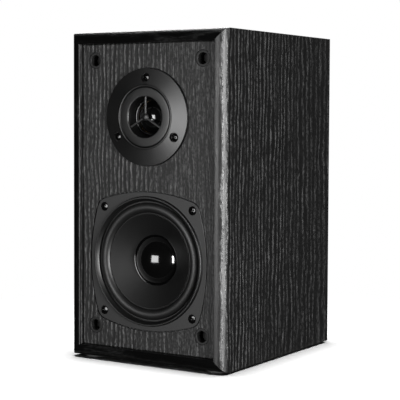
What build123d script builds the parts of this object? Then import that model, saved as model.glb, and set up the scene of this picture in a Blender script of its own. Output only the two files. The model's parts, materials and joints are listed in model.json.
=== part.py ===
from build123d import *
import os
from math import cos, radians, sin

# Two-way bookshelf loudspeaker in a sealed cabinet, millimetres.
# +Z is up and the drivers face -Y. The origin is on the surface that the foot pads stand on,
# at the middle of the whole object's width and depth.

# Cabinet
CABINET_WIDTH = 140.0
CABINET_HEIGHT = 250.0
CABINET_DEPTH = 167.0
WALL = 9.0
FRONT_ROUND = 7.5
INNER_ROUND = 1.0
BAFFLE_RECESS = 4.5
BAFFLE_THICKNESS = 9.0
BAFFLE_CHAMFER = 0.6
PAD_HEIGHT = 1.5
CLEAT = 10.0

# Grille peg sockets
SOCKET_SPACING_X = 97.0
SOCKET_SPACING_Z = 203.8
SOCKET_LOW_Z = 26.2
SOCKET_BORE_R = 4.15
SOCKET_BARREL_R = 5.25
SOCKET_FLANGE_R = 6.2
SOCKET_BORE_DEPTH = 7.8

# Woofer: depths are behind the baffle's front face
WOOFER_Z = 78.5
WOOFER_HALF = 52.4
WOOFER_SIDE_R = 131.6
WOOFER_CORNER_R = 9.0
WOOFER_SCREW_HALF = 40.0
FLANGE_THICKNESS = 1.2
GASKET_THICKNESS = 0.5
WOOFER_CUTOUT_R = 50.5
LANDING_DEPTH = 3.0
CONE_EDGE_R = 36.0
CONE_EDGE_DEPTH = 2.0
CONE_NECK_R = 13.0
CONE_NECK_DEPTH = 14.8
CONE_WALL = 0.9
CAP_R = 18.4
CAP_DEPTH = 11.8
CAP_HEIGHT = 9.5
CAP_WALL = 0.5
ROLL_CREST_R = 40.2
SPIDER_DEPTH = 22.0
TOP_PLATE_DEPTH = 31.2
TOP_PLATE_THICKNESS = 5.0
MAGNET_THICKNESS = 12.0
WOOFER_MAGNET_R = 35.0
WOOFER_POLE_R = 12.2
WOOFER_GAP_R = 14.2
WOOFER_COIL_LENGTH = 12.0
WINDING = 0.6

# Tweeter: depths are behind the baffle's front face, so what stands proud is negative
TWEETER_Z = 187.0
FACEPLATE_R = 36.9
TWEETER_CUTOUT_R = 26.8
TWEETER_SCREW_CIRCLE_R = 29.7
TWEETER_GASKET = 0.4
THROAT_DEPTH = 5.0
DOME_R = 12.2
DOME_EDGE_DEPTH = 6.5
DOME_HEIGHT = 5.7
DOME_WALL = 0.4
HUB_R = 2.4
HUB_DEPTH = -3.4
STEM_R = 1.3
SPOKE_WIDTH = 1.3
SPOKE_REACH = 15.3
TWEETER_MAGNET_R = 24.5
TWEETER_POLE_R = 11.7
TWEETER_GAP_R = 13.1

# Terminal cup
CUP_Z = 63.5
CUP_PLATE = (76.0, 58.0, 2.0)
CUP_HOLLOW = (54.0, 36.0, 15.0)
CUP_WALL = 2.0
CUP_SCREW_X = 34.0
CUP_SCREW_Z = 25.0
LEVER_X = 13.0
LEVER_PROUD = 1.0
HOUSING = (18.0, 30.0, 10.0)
LEVER_WIDTH = 12.2
POCKET_WIDTH = 13.0
POCKET_DEPTH = 7.0
POCKET_UP = 13.2
POCKET_DOWN = 2.9
HINGE_UP = 11.0
HINGE_PIN_R = 0.9
HINGE_CLEARANCE = 0.05
WIRE_HOLE_R = 1.6
WIRE_HOLE_DOWN = 8.0

# Crossover and leads
BOARD = (84.0, 64.0, 1.6)
BOARD_Z = 160.0
SPACER = 6.0
BLADE_WIDTH = 4.8
BLADE_THICKNESS = 0.8
BLADE_LENGTH = 8.0
CONNECTOR = (6.6, 10.0, 2.8)
LEAD_R = 1.1
LEAD_BEND = 9.0
DAMPING = 12.0

# Worked out from the dimensions above
REAR_PROUD = CUP_PLATE[2] + LEVER_PROUD
FRONT_Y = -(CABINET_DEPTH + REAR_PROUD) / 2
REAR_Y = FRONT_Y + CABINET_DEPTH
BAFFLE_Y = FRONT_Y + BAFFLE_RECESS
INNER_X = CABINET_WIDTH / 2 - WALL
INNER_REAR_Y = REAR_Y - WALL
FLOOR_Z = PAD_HEIGHT + WALL
CEILING_Z = PAD_HEIGHT + CABINET_HEIGHT - WALL
CUP_FACE_Y = REAR_Y + CUP_PLATE[2]
CUP_FLOOR_Y = CUP_FACE_Y - CUP_HOLLOW[2]
HOUSING_Y = CUP_FLOOR_Y + HOUSING[2]
HINGE_Y = HOUSING_Y - 3.0
BOARD_FRONT_Y = INNER_REAR_Y - SPACER - BOARD[2]
MAGNET_DEPTH = TOP_PLATE_DEPTH + TOP_PLATE_THICKNESS
BACK_PLATE_DEPTH = MAGNET_DEPTH + MAGNET_THICKNESS


def block(x, y, z):
    """Box between two limits along each axis, each given as a (low, high) pair."""
    size = [high - low for low, high in (x, y, z)]
    middle = [(high + low) / 2 for low, high in (x, y, z)]
    return Pos(*middle) * Box(*size)


def centred_block(x, y_range, z, width, height):
    """Box whose width and height are centred on x and z."""
    return block((x - width / 2, x + width / 2), y_range, (z - height / 2, z + height / 2))


def rod(radius, y_range, x=0.0, z=0.0):
    """Cylinder along Y."""
    low, high = y_range
    return Pos(x, (low + high) / 2, z) * Rot(90, 0, 0) * Cylinder(radius, high - low)


def tube(outer, inner, y_range, x=0.0, z=0.0):
    """Ring along Y."""
    return rod(outer, y_range, x, z) - rod(inner, y_range, x, z)


def turned(outline, z):
    """Solid turned about a driver's axis. The outline lies in radius and depth behind the baffle."""
    return Pos(0, BAFFLE_Y, z) * revolve(make_face(outline), Axis.Y)


def polygon(*points):
    """Closed straight-sided outline."""
    return Polyline(*points, close=True)


def behind(start, end):
    """Range along Y of two depths behind the baffle's front face."""
    return BAFFLE_Y + start, BAFFLE_Y + end


def cross_screw(head_r, head_depth, shank_r, length):
    """Countersunk screw with a low domed head and a cross recess, pointing along +Y, head face at Y 0."""
    dome = 0.4
    outline = [
        ThreePointArc((0, -dome), (head_r * 0.7, -dome * 0.55), (head_r, 0)),
        Polyline((head_r, 0), (shank_r, head_depth), (shank_r, length), (0, length), (0, -dome)),
    ]
    screw = revolve(make_face(outline), Axis.Y)
    arm, width, depth = head_r * 1.25, 0.9, 1.0
    recess = block((-arm / 2, arm / 2), (-1, depth), (-width / 2, width / 2))
    recess += block((-width / 2, width / 2), (-1, depth), (-arm / 2, arm / 2))
    return screw - recess


def ring_places(radius, count, first_angle):
    """Points (x, z) evenly round a circle."""
    turns = [radians(first_angle + 360 / count * i) for i in range(count)]
    return [(radius * cos(turn), radius * sin(turn)) for turn in turns]


def corners(half_x, half_z):
    """The four corners of a rectangle about the origin."""
    return [(sx * half_x, sz * half_z) for sx in (-1, 1) for sz in (-1, 1)]


def cabinet_shell():
    """The four walls as one tube, with the front edges rounded."""
    half, low, high = CABINET_WIDTH / 2, PAD_HEIGHT, PAD_HEIGHT + CABINET_HEIGHT
    outer = block((-half, half), (FRONT_Y, REAR_Y), (low, high))
    outer = fillet(outer.faces().sort_by(Axis.Y)[0].edges(), FRONT_ROUND)
    inner = block((-INNER_X, INNER_X), (FRONT_Y - 1, REAR_Y + 1), (FLOOR_Z, CEILING_Z))
    shell = outer - inner
    rim = shell.faces().filter_by(Axis.Y).sort_by(Axis.Y)[0]
    return fillet(rim.inner_wires()[0].edges(), INNER_ROUND)


def mitred(shell, corner_a, corner_b):
    """The wall between two outer corners of the shell, cut at 45 degrees at both ends."""
    inner_a = (corner_a[0] - WALL * sign(corner_a[0]), toward_middle(corner_a[1]))
    inner_b = (corner_b[0] - WALL * sign(corner_b[0]), toward_middle(corner_b[1]))
    outline = Plane.XZ * polygon(corner_a, corner_b, inner_b, inner_a)
    wedge = extrude(make_face(outline), amount=CABINET_DEPTH, both=True)
    return shell & wedge


def sign(value):
    return 1 if value > 0 else -1


def toward_middle(z):
    """Height of the inner corner that belongs to an outer corner."""
    return FLOOR_Z if z < CABINET_HEIGHT / 2 else CEILING_Z


def cabinet_walls():
    shell = cabinet_shell()
    half, low, high = CABINET_WIDTH / 2, PAD_HEIGHT, PAD_HEIGHT + CABINET_HEIGHT
    return {
        "left_side_panel": mitred(shell, (-half, low), (-half, high)),
        "right_side_panel": mitred(shell, (half, low), (half, high)),
        "top_panel": mitred(shell, (-half, high), (half, high)),
        "bottom_panel": mitred(shell, (-half, low), (half, low)),
    }


def woofer_plate(start, end, grow=0.0):
    """Rounded square with bulging sides on the woofer's axis, between two depths."""
    middle = WOOFER_SIDE_R - WOOFER_HALF
    side_r = WOOFER_SIDE_R + grow
    plate = rod(side_r, behind(start, end), middle, WOOFER_Z)
    for x, z in ((-middle, 0), (0, middle), (0, -middle)):
        plate &= rod(side_r, behind(start, end), x, WOOFER_Z + z)
    return fillet(plate.edges().filter_by(Axis.Y), WOOFER_CORNER_R + grow)


def socket_places():
    """Centres (x, z) of the grille peg sockets."""
    middle = SOCKET_LOW_Z + SOCKET_SPACING_Z / 2
    return [(x, middle + z) for x, z in corners(SOCKET_SPACING_X / 2, SOCKET_SPACING_Z / 2)]


def front_baffle():
    z_range = (FLOOR_Z, CEILING_Z)
    panel = block((-INNER_X, INNER_X), behind(0, BAFFLE_THICKNESS), z_range)
    panel = chamfer(panel.faces().sort_by(Axis.Y)[0].edges(), BAFFLE_CHAMFER)
    panel -= woofer_plate(-1, FLANGE_THICKNESS + GASKET_THICKNESS, 0.3)
    panel -= rod(WOOFER_CUTOUT_R, behind(-1, BAFFLE_THICKNESS + 1), 0, WOOFER_Z)
    panel -= rod(TWEETER_CUTOUT_R, behind(-1, BAFFLE_THICKNESS + 1), 0, TWEETER_Z)
    for x, z in socket_places():
        panel -= rod(SOCKET_FLANGE_R + 0.1, behind(-1, 1.2), x, z)
        panel -= rod(SOCKET_BARREL_R + 0.05, behind(-1, BAFFLE_THICKNESS + 1), x, z)
    for x, z in corners(WOOFER_SCREW_HALF, WOOFER_SCREW_HALF):
        panel -= rod(1.6, behind(0, BAFFLE_THICKNESS + 1), x, WOOFER_Z + z)
    for x, z in ring_places(TWEETER_SCREW_CIRCLE_R, 3, 90):
        panel -= rod(1.6, behind(-1, BAFFLE_THICKNESS + 1), x, TWEETER_Z + z)
    return panel


def rear_panel():
    z_range = (FLOOR_Z, CEILING_Z)
    panel = block((-INNER_X, INNER_X), (INNER_REAR_Y, REAR_Y), z_range)
    width, height = CUP_HOLLOW[0] + 2 * CUP_WALL + 2, CUP_HOLLOW[1] + 2 * CUP_WALL + 2
    panel -= centred_block(0, (INNER_REAR_Y - 1, REAR_Y + 1), CUP_Z, width, height)
    for x, z in corners(CUP_SCREW_X, CUP_SCREW_Z):
        panel -= rod(1.2, (REAR_Y - 8, REAR_Y + 1), x, CUP_Z + z)
    for x, z in board_screw_places():
        panel -= rod(1.2, (INNER_REAR_Y - 1, INNER_REAR_Y + 6), x, z)
    return panel


def baffle_cleats():
    """Battens that the baffle is glued to, down both side panels."""
    y_range = behind(BAFFLE_THICKNESS, BAFFLE_THICKNESS + CLEAT)
    z_range = (FLOOR_Z + 12, CEILING_Z - 12)
    return [
        block((INNER_X - CLEAT, INNER_X), y_range, z_range),
        block((-INNER_X, CLEAT - INNER_X), y_range, z_range),
    ]


def foot_pads():
    """Four low round pads stuck under the bottom panel."""
    radius, inset = 7.0, 14.0
    x, y = CABINET_WIDTH / 2 - inset, CABINET_DEPTH / 2 - inset
    middle_y = (FRONT_Y + REAR_Y) / 2
    return [
        Pos(px, middle_y + py, PAD_HEIGHT / 2) * Cylinder(radius, PAD_HEIGHT)
        for px, py in corners(x, y)
    ]


def grille_sockets():
    """Blind sockets that take the pegs of a grille, flush with the baffle."""
    sockets = []
    for x, z in socket_places():
        socket = rod(SOCKET_FLANGE_R, behind(0, 1.2), x, z)
        socket += rod(SOCKET_BARREL_R, behind(0, SOCKET_BORE_DEPTH + 0.8), x, z)
        sockets.append(socket - rod(SOCKET_BORE_R, behind(-1, SOCKET_BORE_DEPTH), x, z))
    return sockets


def woofer_basket():
    """Stamped steel basket: square flange, landing for the surround, bowl with four windows."""
    plate = woofer_plate(0, FLANGE_THICKNESS) - rod(49.5, behind(-1, 3), 0, WOOFER_Z)
    bowl = turned(
        polygon(
            (49.0, 0),
            (49.0, LANDING_DEPTH),
            (44.6, LANDING_DEPTH),
            (34.2, SPIDER_DEPTH),
            (28.6, SPIDER_DEPTH),
            (26.8, TOP_PLATE_DEPTH - 1.2),
            (15.0, TOP_PLATE_DEPTH - 1.2),
            (15.0, TOP_PLATE_DEPTH),
            (27.8, TOP_PLATE_DEPTH),
            (29.6, SPIDER_DEPTH + 1.2),
            (35.0, SPIDER_DEPTH + 1.2),
            (45.3, LANDING_DEPTH + 1.2),
            (50.2, LANDING_DEPTH + 1.2),
            (50.2, 0),
        ),
        WOOFER_Z,
    )
    window_arc = 56.0
    window = revolve(make_face(polygon((30, 6), (60, 6), (60, 20), (30, 20))), Axis.Y, window_arc)
    basket = plate + bowl
    for quarter in range(4):
        turn = Rot(0, quarter * 90 - window_arc / 2, 0)
        basket -= Pos(0, BAFFLE_Y, WOOFER_Z) * turn * window
    for x, z in corners(WOOFER_SCREW_HALF, WOOFER_SCREW_HALF):
        basket -= countersink(3.5, 2.1, FLANGE_THICKNESS, x, WOOFER_Z + z)
    return basket


def countersink(wide_r, narrow_r, depth, x, z):
    """Cone that sinks a screw head into a face at the baffle's level."""
    outline = polygon((0, -0.5), (wide_r, -0.5), (wide_r, 0), (narrow_r, depth + 0.01), (0, depth + 0.01))
    return Pos(x, BAFFLE_Y, z) * revolve(make_face(outline), Axis.Y)


def woofer_trim_ring():
    """Moulded ring with a raised bead that covers the edge of the surround."""
    return turned(
        polygon(
            (48.9, 2.2),
            (45.6, 2.2),
            (45.3, 0.3),
            (46.6, -0.5),
            (47.9, -1.3),
            (48.7, -1.2),
            (49.8, -0.1),
            (49.8, 0),
            (48.9, 0),
        ),
        WOOFER_Z,
    )


def cone_back_depth(radius):
    """Depth of the cone's rear face at a radius."""
    slope = (CONE_NECK_DEPTH - CONE_EDGE_DEPTH) / (CONE_EDGE_R - CONE_NECK_R)
    return CONE_EDGE_DEPTH + (CONE_EDGE_R - radius) * slope + CONE_WALL


def woofer_surround():
    """Rubber half roll from the basket's landing to the back of the cone's edge."""
    lip, thickness = LANDING_DEPTH - 0.8, 0.7
    inner_front = (33.8, cone_back_depth(33.8) + 0.05)
    inner_back = (33.8, inner_front[1] + thickness)
    outline = [
        Line((48.8, lip), (44.5, lip)),
        ThreePointArc((44.5, lip), (ROLL_CREST_R, 0.0), (36.5, 2.9)),
        Polyline((36.5, 2.9), (36.2, cone_back_depth(36.2) + 0.05), inner_front, inner_back),
        Line(inner_back, (36.9, 3.6)),
        ThreePointArc((36.9, 3.6), (ROLL_CREST_R, thickness), (44.1, LANDING_DEPTH)),
        Polyline((44.1, LANDING_DEPTH), (48.8, LANDING_DEPTH), (48.8, lip)),
    ]
    return turned(outline, WOOFER_Z)


def woofer_cone():
    """Paper cone with a short neck round the coil former."""
    neck_end = CONE_NECK_DEPTH + 3.5
    return turned(
        polygon(
            (CONE_EDGE_R, CONE_EDGE_DEPTH),
            (CONE_NECK_R, CONE_NECK_DEPTH),
            (CONE_NECK_R, neck_end),
            (CONE_NECK_R + 0.6, neck_end),
            (CONE_NECK_R + 0.6, cone_back_depth(CONE_NECK_R + 0.6)),
            (CONE_EDGE_R, CONE_EDGE_DEPTH + CONE_WALL),
        ),
        WOOFER_Z,
    )


def dome_shell(edge_r, edge_depth, height, wall, z):
    """Thin spherical cap that bulges forward."""
    inner_r, inner_height = edge_r - wall, height - wall
    outline = [
        ThreePointArc((0, edge_depth - height), *cap_points(edge_r, edge_depth, height)),
        Line((edge_r, edge_depth), (inner_r, edge_depth)),
        ThreePointArc((0, edge_depth - inner_height), *cap_points(inner_r, edge_depth, inner_height)),
        Line((0, edge_depth - inner_height), (0, edge_depth - height)),
    ]
    return turned(outline, z)


def cap_points(edge_r, edge_depth, height):
    """A middle point and the end point of a cap's arc that starts at its crown."""
    sphere_r = (edge_r**2 + height**2) / (2 * height)
    middle_r = edge_r * 0.6
    drop = sphere_r - (sphere_r**2 - middle_r**2) ** 0.5
    return (middle_r, edge_depth - height + drop), (edge_r, edge_depth)


def woofer_spider():
    """Corrugated cloth disc that centres the voice coil."""
    front, back, ridges = [], [], 4
    first, last, thickness, swing = 14.5, 28.0, 0.4, 0.7
    step = (last - first) / (2 * ridges)
    for i in range(2 * ridges + 1):
        depth = SPIDER_DEPTH - 1.3 + (swing if i % 2 else -swing)
        front.append((first + i * step, depth))
        back.append((first + i * step, depth + thickness))
    rim = SPIDER_DEPTH - thickness
    hub = [(CONE_NECK_R + 0.1, rim - 1.6), (CONE_NECK_R + 0.1, rim - 1.2)]
    outer = [(29.0, rim), (33.5, rim), (33.5, SPIDER_DEPTH), (28.8, SPIDER_DEPTH)]
    return turned(polygon(hub[0], *front, *outer, *reversed(back), hub[1]), WOOFER_Z)


def woofer_moving_coil():
    """Paper former and the copper winding on it."""
    plate_middle = TOP_PLATE_DEPTH + TOP_PLATE_THICKNESS / 2
    former_end = plate_middle + WOOFER_COIL_LENGTH / 2 + 1.5
    winding = behind(plate_middle - WOOFER_COIL_LENGTH / 2, plate_middle + WOOFER_COIL_LENGTH / 2)
    former_r = CONE_NECK_R - 0.02
    former = tube(former_r, former_r - 0.3, behind(CONE_NECK_DEPTH + 0.3, former_end), 0, WOOFER_Z)
    return former, tube(former_r + WINDING, former_r, winding, 0, WOOFER_Z)


def woofer_motor():
    """Top plate, ring magnet and back plate with its pole piece."""
    plate_r = WOOFER_MAGNET_R - 1.5
    top_plate = tube(plate_r, WOOFER_GAP_R, behind(TOP_PLATE_DEPTH, MAGNET_DEPTH), 0, WOOFER_Z)
    magnet = tube(WOOFER_MAGNET_R, 17.5, behind(MAGNET_DEPTH, BACK_PLATE_DEPTH), 0, WOOFER_Z)
    back_plate = rod(plate_r, behind(BACK_PLATE_DEPTH, BACK_PLATE_DEPTH + 5), 0, WOOFER_Z)
    back_plate += rod(WOOFER_POLE_R, behind(TOP_PLATE_DEPTH, BACK_PLATE_DEPTH + 1), 0, WOOFER_Z)
    return top_plate, magnet, back_plate


def woofer_terminals():
    """Strip on the back of the basket, its two lugs, and the tinsel leads to the cone."""
    strip_start, strip_end = SPIDER_DEPTH + 1.2, SPIDER_DEPTH + 2.7
    lug_x, lug_low = 6.0, 37.0
    z_range = (WOOFER_Z + 30.5, WOOFER_Z + 44)
    strip = block((-11, 11), behind(strip_start, strip_end), z_range)
    lugs, leads = [], []
    for x in (-lug_x, lug_x):
        lug_range = (x - BLADE_WIDTH / 2, x + BLADE_WIDTH / 2)
        height = (WOOFER_Z + lug_low, WOOFER_Z + 44 + BLADE_LENGTH)
        lugs.append(block(lug_range, behind(strip_end, strip_end + BLADE_THICKNESS), height))
        arc = ThreePointArc(
            (x, BAFFLE_Y + strip_start - 0.1, WOOFER_Z + 38.5),
            (x, BAFFLE_Y + 14.0, WOOFER_Z + 33.5),
            (x, BAFFLE_Y + cone_back_depth(25.0) + 0.55, WOOFER_Z + 25.0),
        )
        leads.append(sweep(Plane(arc @ 0, z_dir=arc % 0) * Circle(0.45), arc))
    return strip, lugs, leads


def woofer_screws():
    screw = cross_screw(3.3, 1.15, 1.55, 8.5)
    places = corners(WOOFER_SCREW_HALF, WOOFER_SCREW_HALF)
    return [Pos(x, BAFFLE_Y, WOOFER_Z + z) * screw for x, z in places]


def tweeter_faceplate():
    """Moulded plate: steep rim, shallow cone, raised bead, flat ring and throat, with a hollow back."""
    foot = -TWEETER_GASKET
    plate = turned(
        [
            Polyline((FACEPLATE_R, foot), (35.7, -2.2), (25.2, -4.0)),
            ThreePointArc((25.2, -4.0), (23.9, -4.42), (22.4, -3.9)),
            Polyline((22.4, -3.9), (21.8, -3.4), (21.2, -3.75), (15.7, -4.3)),
            ThreePointArc((15.7, -4.3), (15.25, -4.2), (15.05, -3.8)),
            Polyline(
                (15.05, -3.8),
                (14.5, THROAT_DEPTH),
                (18.0, THROAT_DEPTH),
                (18.0, -2.2),
                (23.5, -2.2),
                (23.5, THROAT_DEPTH),
                (26.3, THROAT_DEPTH),
                (26.3, foot),
                (FACEPLATE_R, foot),
            ),
        ],
        TWEETER_Z,
    )
    for x, z in ring_places(TWEETER_SCREW_CIRCLE_R, 3, 90):
        plate -= rod(3.6, behind(-6, -1.6), x, TWEETER_Z + z)
        plate -= rod(1.8, behind(-6, 1), x, TWEETER_Z + z)
    return plate


def tweeter_guard():
    """Hub and short stem held before the dome by three spokes."""
    hub = turned(
        polygon(
            (0, HUB_DEPTH - 0.6),
            (1.5, HUB_DEPTH - 0.5),
            (HUB_R, HUB_DEPTH),
            (HUB_R, -2.2),
            (STEM_R, -1.8),
            (STEM_R, 0.2),
            (0, 0.2),
        ),
        TWEETER_Z,
    )
    for angle in (90, 210, 330):
        spoke = block((0, SPOKE_REACH), (HUB_DEPTH, -2.3), (-SPOKE_WIDTH / 2, SPOKE_WIDTH / 2))
        hub += Pos(0, BAFFLE_Y, TWEETER_Z) * Rot(0, -angle, 0) * spoke
    return hub


def tweeter_surround():
    """Soft half roll round the dome, clamped between faceplate and top plate."""
    lip, thickness = THROAT_DEPTH, 0.4
    outline = [
        Line((17.8, lip), (14.4, lip)),
        ThreePointArc((14.4, lip), (13.4, 4.1), (12.4, 5.6)),
        Line((12.4, 5.6), (12.4, 6.3)),
        ThreePointArc((12.4, 6.3), (13.35, 4.6), (14.2, lip + thickness)),
        Polyline((14.2, lip + thickness), (17.8, lip + thickness), (17.8, lip)),
    ]
    return turned(outline, TWEETER_Z)


def tweeter_moving_coil():
    """Former and winding behind the dome's edge."""
    former = tube(12.4, DOME_R, behind(DOME_EDGE_DEPTH, 12.0), 0, TWEETER_Z)
    return former, tube(12.7, 12.4, behind(8.2, 11.4), 0, TWEETER_Z)


def tweeter_motor():
    """Top plate, ring magnet and back plate with its pole piece."""
    front = THROAT_DEPTH + 0.4
    plate_end, magnet_end, back_end = front + 3, front + 10, front + 13
    top_plate = tube(TWEETER_MAGNET_R, TWEETER_GAP_R, behind(front, plate_end), 0, TWEETER_Z)
    magnet = tube(TWEETER_MAGNET_R, 15.0, behind(plate_end, magnet_end), 0, TWEETER_Z)
    back_plate = rod(TWEETER_MAGNET_R - 1, behind(magnet_end, back_end), 0, TWEETER_Z)
    back_plate += rod(TWEETER_POLE_R, behind(7.5, magnet_end + 1), 0, TWEETER_Z)
    return top_plate, magnet, back_plate, back_end


def tweeter_terminals(back_depth):
    """Strip on the magnet's back with two lugs for the leads."""
    lug_x, lug_up = 6.0, 12.0
    strip = centred_block(0, behind(back_depth, back_depth + 2), TWEETER_Z + lug_up, 22, 8)
    start = BAFFLE_Y + back_depth + 2
    lugs = [
        centred_block(x, (start, start + BLADE_LENGTH), TWEETER_Z + lug_up, BLADE_WIDTH, BLADE_THICKNESS)
        for x in (-lug_x, lug_x)
    ]
    return strip, lugs


def tweeter_screws():
    screw = cross_screw(3.0, 1.0, 1.55, 10.0)
    places = ring_places(TWEETER_SCREW_CIRCLE_R, 3, 90)
    return [Pos(x, BAFFLE_Y - 2.6, TWEETER_Z + z) * screw for x, z in places]


def terminal_cup():
    """Recessed cup with two lever housings, their wire holes and the slots for the contacts."""
    width, height, depth = CUP_HOLLOW
    cup = centred_block(0, (REAR_Y, CUP_FACE_Y), CUP_Z, CUP_PLATE[0], CUP_PLATE[1])
    cup = fillet(cup.edges().filter_by(Axis.Y), 5.0)
    pan_y = (CUP_FLOOR_Y - CUP_WALL, REAR_Y)
    cup += centred_block(0, pan_y, CUP_Z, width + 2 * CUP_WALL, height + 2 * CUP_WALL)
    cup -= centred_block(0, (CUP_FLOOR_Y, CUP_FACE_Y + 1), CUP_Z, width, height)
    for x in (-LEVER_X, LEVER_X):
        cup += centred_block(x, (CUP_FLOOR_Y, HOUSING_Y), CUP_Z, HOUSING[0], HOUSING[1])
        pocket_z = (CUP_Z - POCKET_DOWN, CUP_Z + POCKET_UP)
        pocket_x = (x - POCKET_WIDTH / 2, x + POCKET_WIDTH / 2)
        cup -= block(pocket_x, (HOUSING_Y - POCKET_DEPTH, HOUSING_Y + 1), pocket_z)
        pin_hole = Pos(x, HINGE_Y, CUP_Z + HINGE_UP) * Rot(0, 90, 0) * Cylinder(HINGE_PIN_R, 17)
        cup -= pin_hole
        cup -= rod(WIRE_HOLE_R, (CUP_FLOOR_Y + 1, HOUSING_Y + 1), x, CUP_Z - WIRE_HOLE_DOWN)
        cup -= blade_at_cup(x)
    for x, z in corners(CUP_SCREW_X, CUP_SCREW_Z):
        cup -= cup_countersink(x, CUP_Z + z)
    return cup


def cup_countersink(x, z):
    """Hole and cone for a countersunk screw, opening towards the rear."""
    outline = polygon((0, 0.5), (2.6, 0.5), (2.6, 0), (1.5, -1.4), (1.5, -3), (0, -3))
    return Pos(x, CUP_FACE_Y, z) * revolve(make_face(outline), Axis.Y)


def blade_at_cup(x):
    """Contact blade through the cup's floor."""
    y_range = (CUP_FLOOR_Y - CUP_WALL - BLADE_LENGTH, CUP_FLOOR_Y + 1)
    return centred_block(x, y_range, CUP_Z - WIRE_HOLE_DOWN, BLADE_WIDTH, BLADE_THICKNESS)


def terminal_lever(x):
    """Wedge-shaped push lever that hangs on its pin."""
    y0, z0 = HINGE_Y, CUP_Z + HINGE_UP
    thumb_y = CUP_FACE_Y + LEVER_PROUD
    outline = Plane.YZ * polygon(
        (y0 + 0.6, z0 + 1.6),
        (y0 + 3.0, z0 + 1.6),
        (thumb_y, z0 - 8.6),
        (thumb_y, z0 - 12.2),
        (y0 + 0.6, z0 - 12.2),
    )
    lever = extrude(make_face(outline), amount=LEVER_WIDTH / 2, both=True)
    along_x = Pos(0, y0, z0) * Rot(0, 90, 0)
    lever += along_x * Cylinder(1.9, LEVER_WIDTH)
    for groove in range(3):
        top = z0 - 9.2 - groove * 1.1
        lever -= block((-LEVER_WIDTH, LEVER_WIDTH), (thumb_y - 0.4, thumb_y + 1), (top - 0.5, top))
    lever -= along_x * Cylinder(HINGE_PIN_R + HINGE_CLEARANCE, LEVER_WIDTH + 2)
    return Pos(x, 0, 0) * lever


def terminal_spring(x):
    """Leaf spring between the housing and the lever."""
    y0 = HOUSING_Y - POCKET_DEPTH
    outline = Plane.YZ * polygon(
        (y0, CUP_Z + 8),
        (y0 + 0.5, CUP_Z + 8),
        (y0 + 0.5, CUP_Z + 1.3),
        (y0 + 4.3, CUP_Z + 3.6),
        (y0 + 4.3, CUP_Z + 2.9),
        (y0, CUP_Z + 0.4),
    )
    return Pos(x, 0, 0) * extrude(make_face(outline), amount=4, both=True)


def lever_pins():
    hinge = Pos(0, HINGE_Y, CUP_Z + HINGE_UP) * Rot(0, 90, 0) * Cylinder(HINGE_PIN_R, 17)
    return [Pos(x, 0, 0) * hinge for x in (-LEVER_X, LEVER_X)]


def terminal_screws():
    screw = Rot(180, 0, 0) * cross_screw(2.5, 1.35, 1.15, 9.0)
    places = corners(CUP_SCREW_X, CUP_SCREW_Z)
    return [Pos(x, CUP_FACE_Y - 0.1, CUP_Z + z) * screw for x, z in places]


def board_screw_places():
    half_x, half_z = BOARD[0] / 2 - 5, BOARD[1] / 2 - 5
    return [(x, BOARD_Z + z) for x, z in corners(half_x, half_z)]


def crossover_board():
    board = centred_block(0, (BOARD_FRONT_Y, BOARD_FRONT_Y + BOARD[2]), BOARD_Z, BOARD[0], BOARD[1])
    for x, z in board_screw_places():
        board -= rod(1.5, (BOARD_FRONT_Y - 1, BOARD_FRONT_Y + 3), x, z)
    return board


def crossover_fixings():
    """Spacers behind the board and pan-head screws through them."""
    spacers, screws = [], []
    for x, z in board_screw_places():
        spacers.append(tube(3.5, 1.5, (INNER_REAR_Y - SPACER, INNER_REAR_Y), x, z))
        shank = rod(1.2, (BOARD_FRONT_Y - 1, INNER_REAR_Y + 5), x, z)
        screws.append(shank + rod(2.7, (BOARD_FRONT_Y - 1.8, BOARD_FRONT_Y), x, z))
    return spacers, screws


def capacitor(x, z, radius, length):
    """Round capacitor that lies across the board."""
    can = Pos(x, BOARD_FRONT_Y - radius, z) * Rot(0, 90, 0) * Cylinder(radius, length)
    return fillet(can.edges(), 1.0)


def inductor(x, z):
    """Air-cored coil that stands on the board."""
    height, radius, bore = 15.0, 15.0, 7.5
    coil = tube(radius, bore, (BOARD_FRONT_Y - height, BOARD_FRONT_Y), x, z)
    return fillet(coil.edges().group_by(Axis.Y)[0], 1.5)


def board_tab_places():
    """Centres (x, z) of the board's tabs, by what they serve."""
    low, high = BOARD_Z - BOARD[1] / 2 + 3, BOARD_Z + BOARD[1] / 2 - 3
    return {
        "input": [(8, low), (-8, low)],
        "woofer": [(22, low), (-22, low)],
        "tweeter": [(8, high), (-8, high)],
    }


def board_tabs():
    y_range = (BOARD_FRONT_Y - BLADE_LENGTH, BOARD_FRONT_Y)
    places = [place for pair in board_tab_places().values() for place in pair]
    return [centred_block(x, y_range, z, BLADE_WIDTH, BLADE_THICKNESS) for x, z in places]


def connector(tip, direction):
    """Push-on connector over a blade. tip is the blade's end and direction points away from its root."""
    wide, long, thick = CONNECTOR
    reach = BLADE_LENGTH - 1.5
    body = block((-wide / 2, wide / 2), (-reach, long - reach), (-thick / 2, thick / 2))
    slot_x = (-BLADE_WIDTH / 2 - 0.1, BLADE_WIDTH / 2 + 0.1)
    slot_z = (-BLADE_THICKNESS / 2 - 0.1, BLADE_THICKNESS / 2 + 0.1)
    body -= block(slot_x, (-reach - 1, 0.2), slot_z)
    turn = {"-y": Rot(0, 0, 180), "+y": Rot(0, 0, 0), "+z": Rot(90, 0, 0)}[direction]
    return Pos(*tip) * turn * body


def lead(*points):
    """Insulated wire along straight runs joined by arcs."""
    route = FilletPolyline(*points, radius=LEAD_BEND)
    start = Plane(route @ 0, z_dir=route % 0)
    return sweep(start * Circle(LEAD_R), route)


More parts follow.
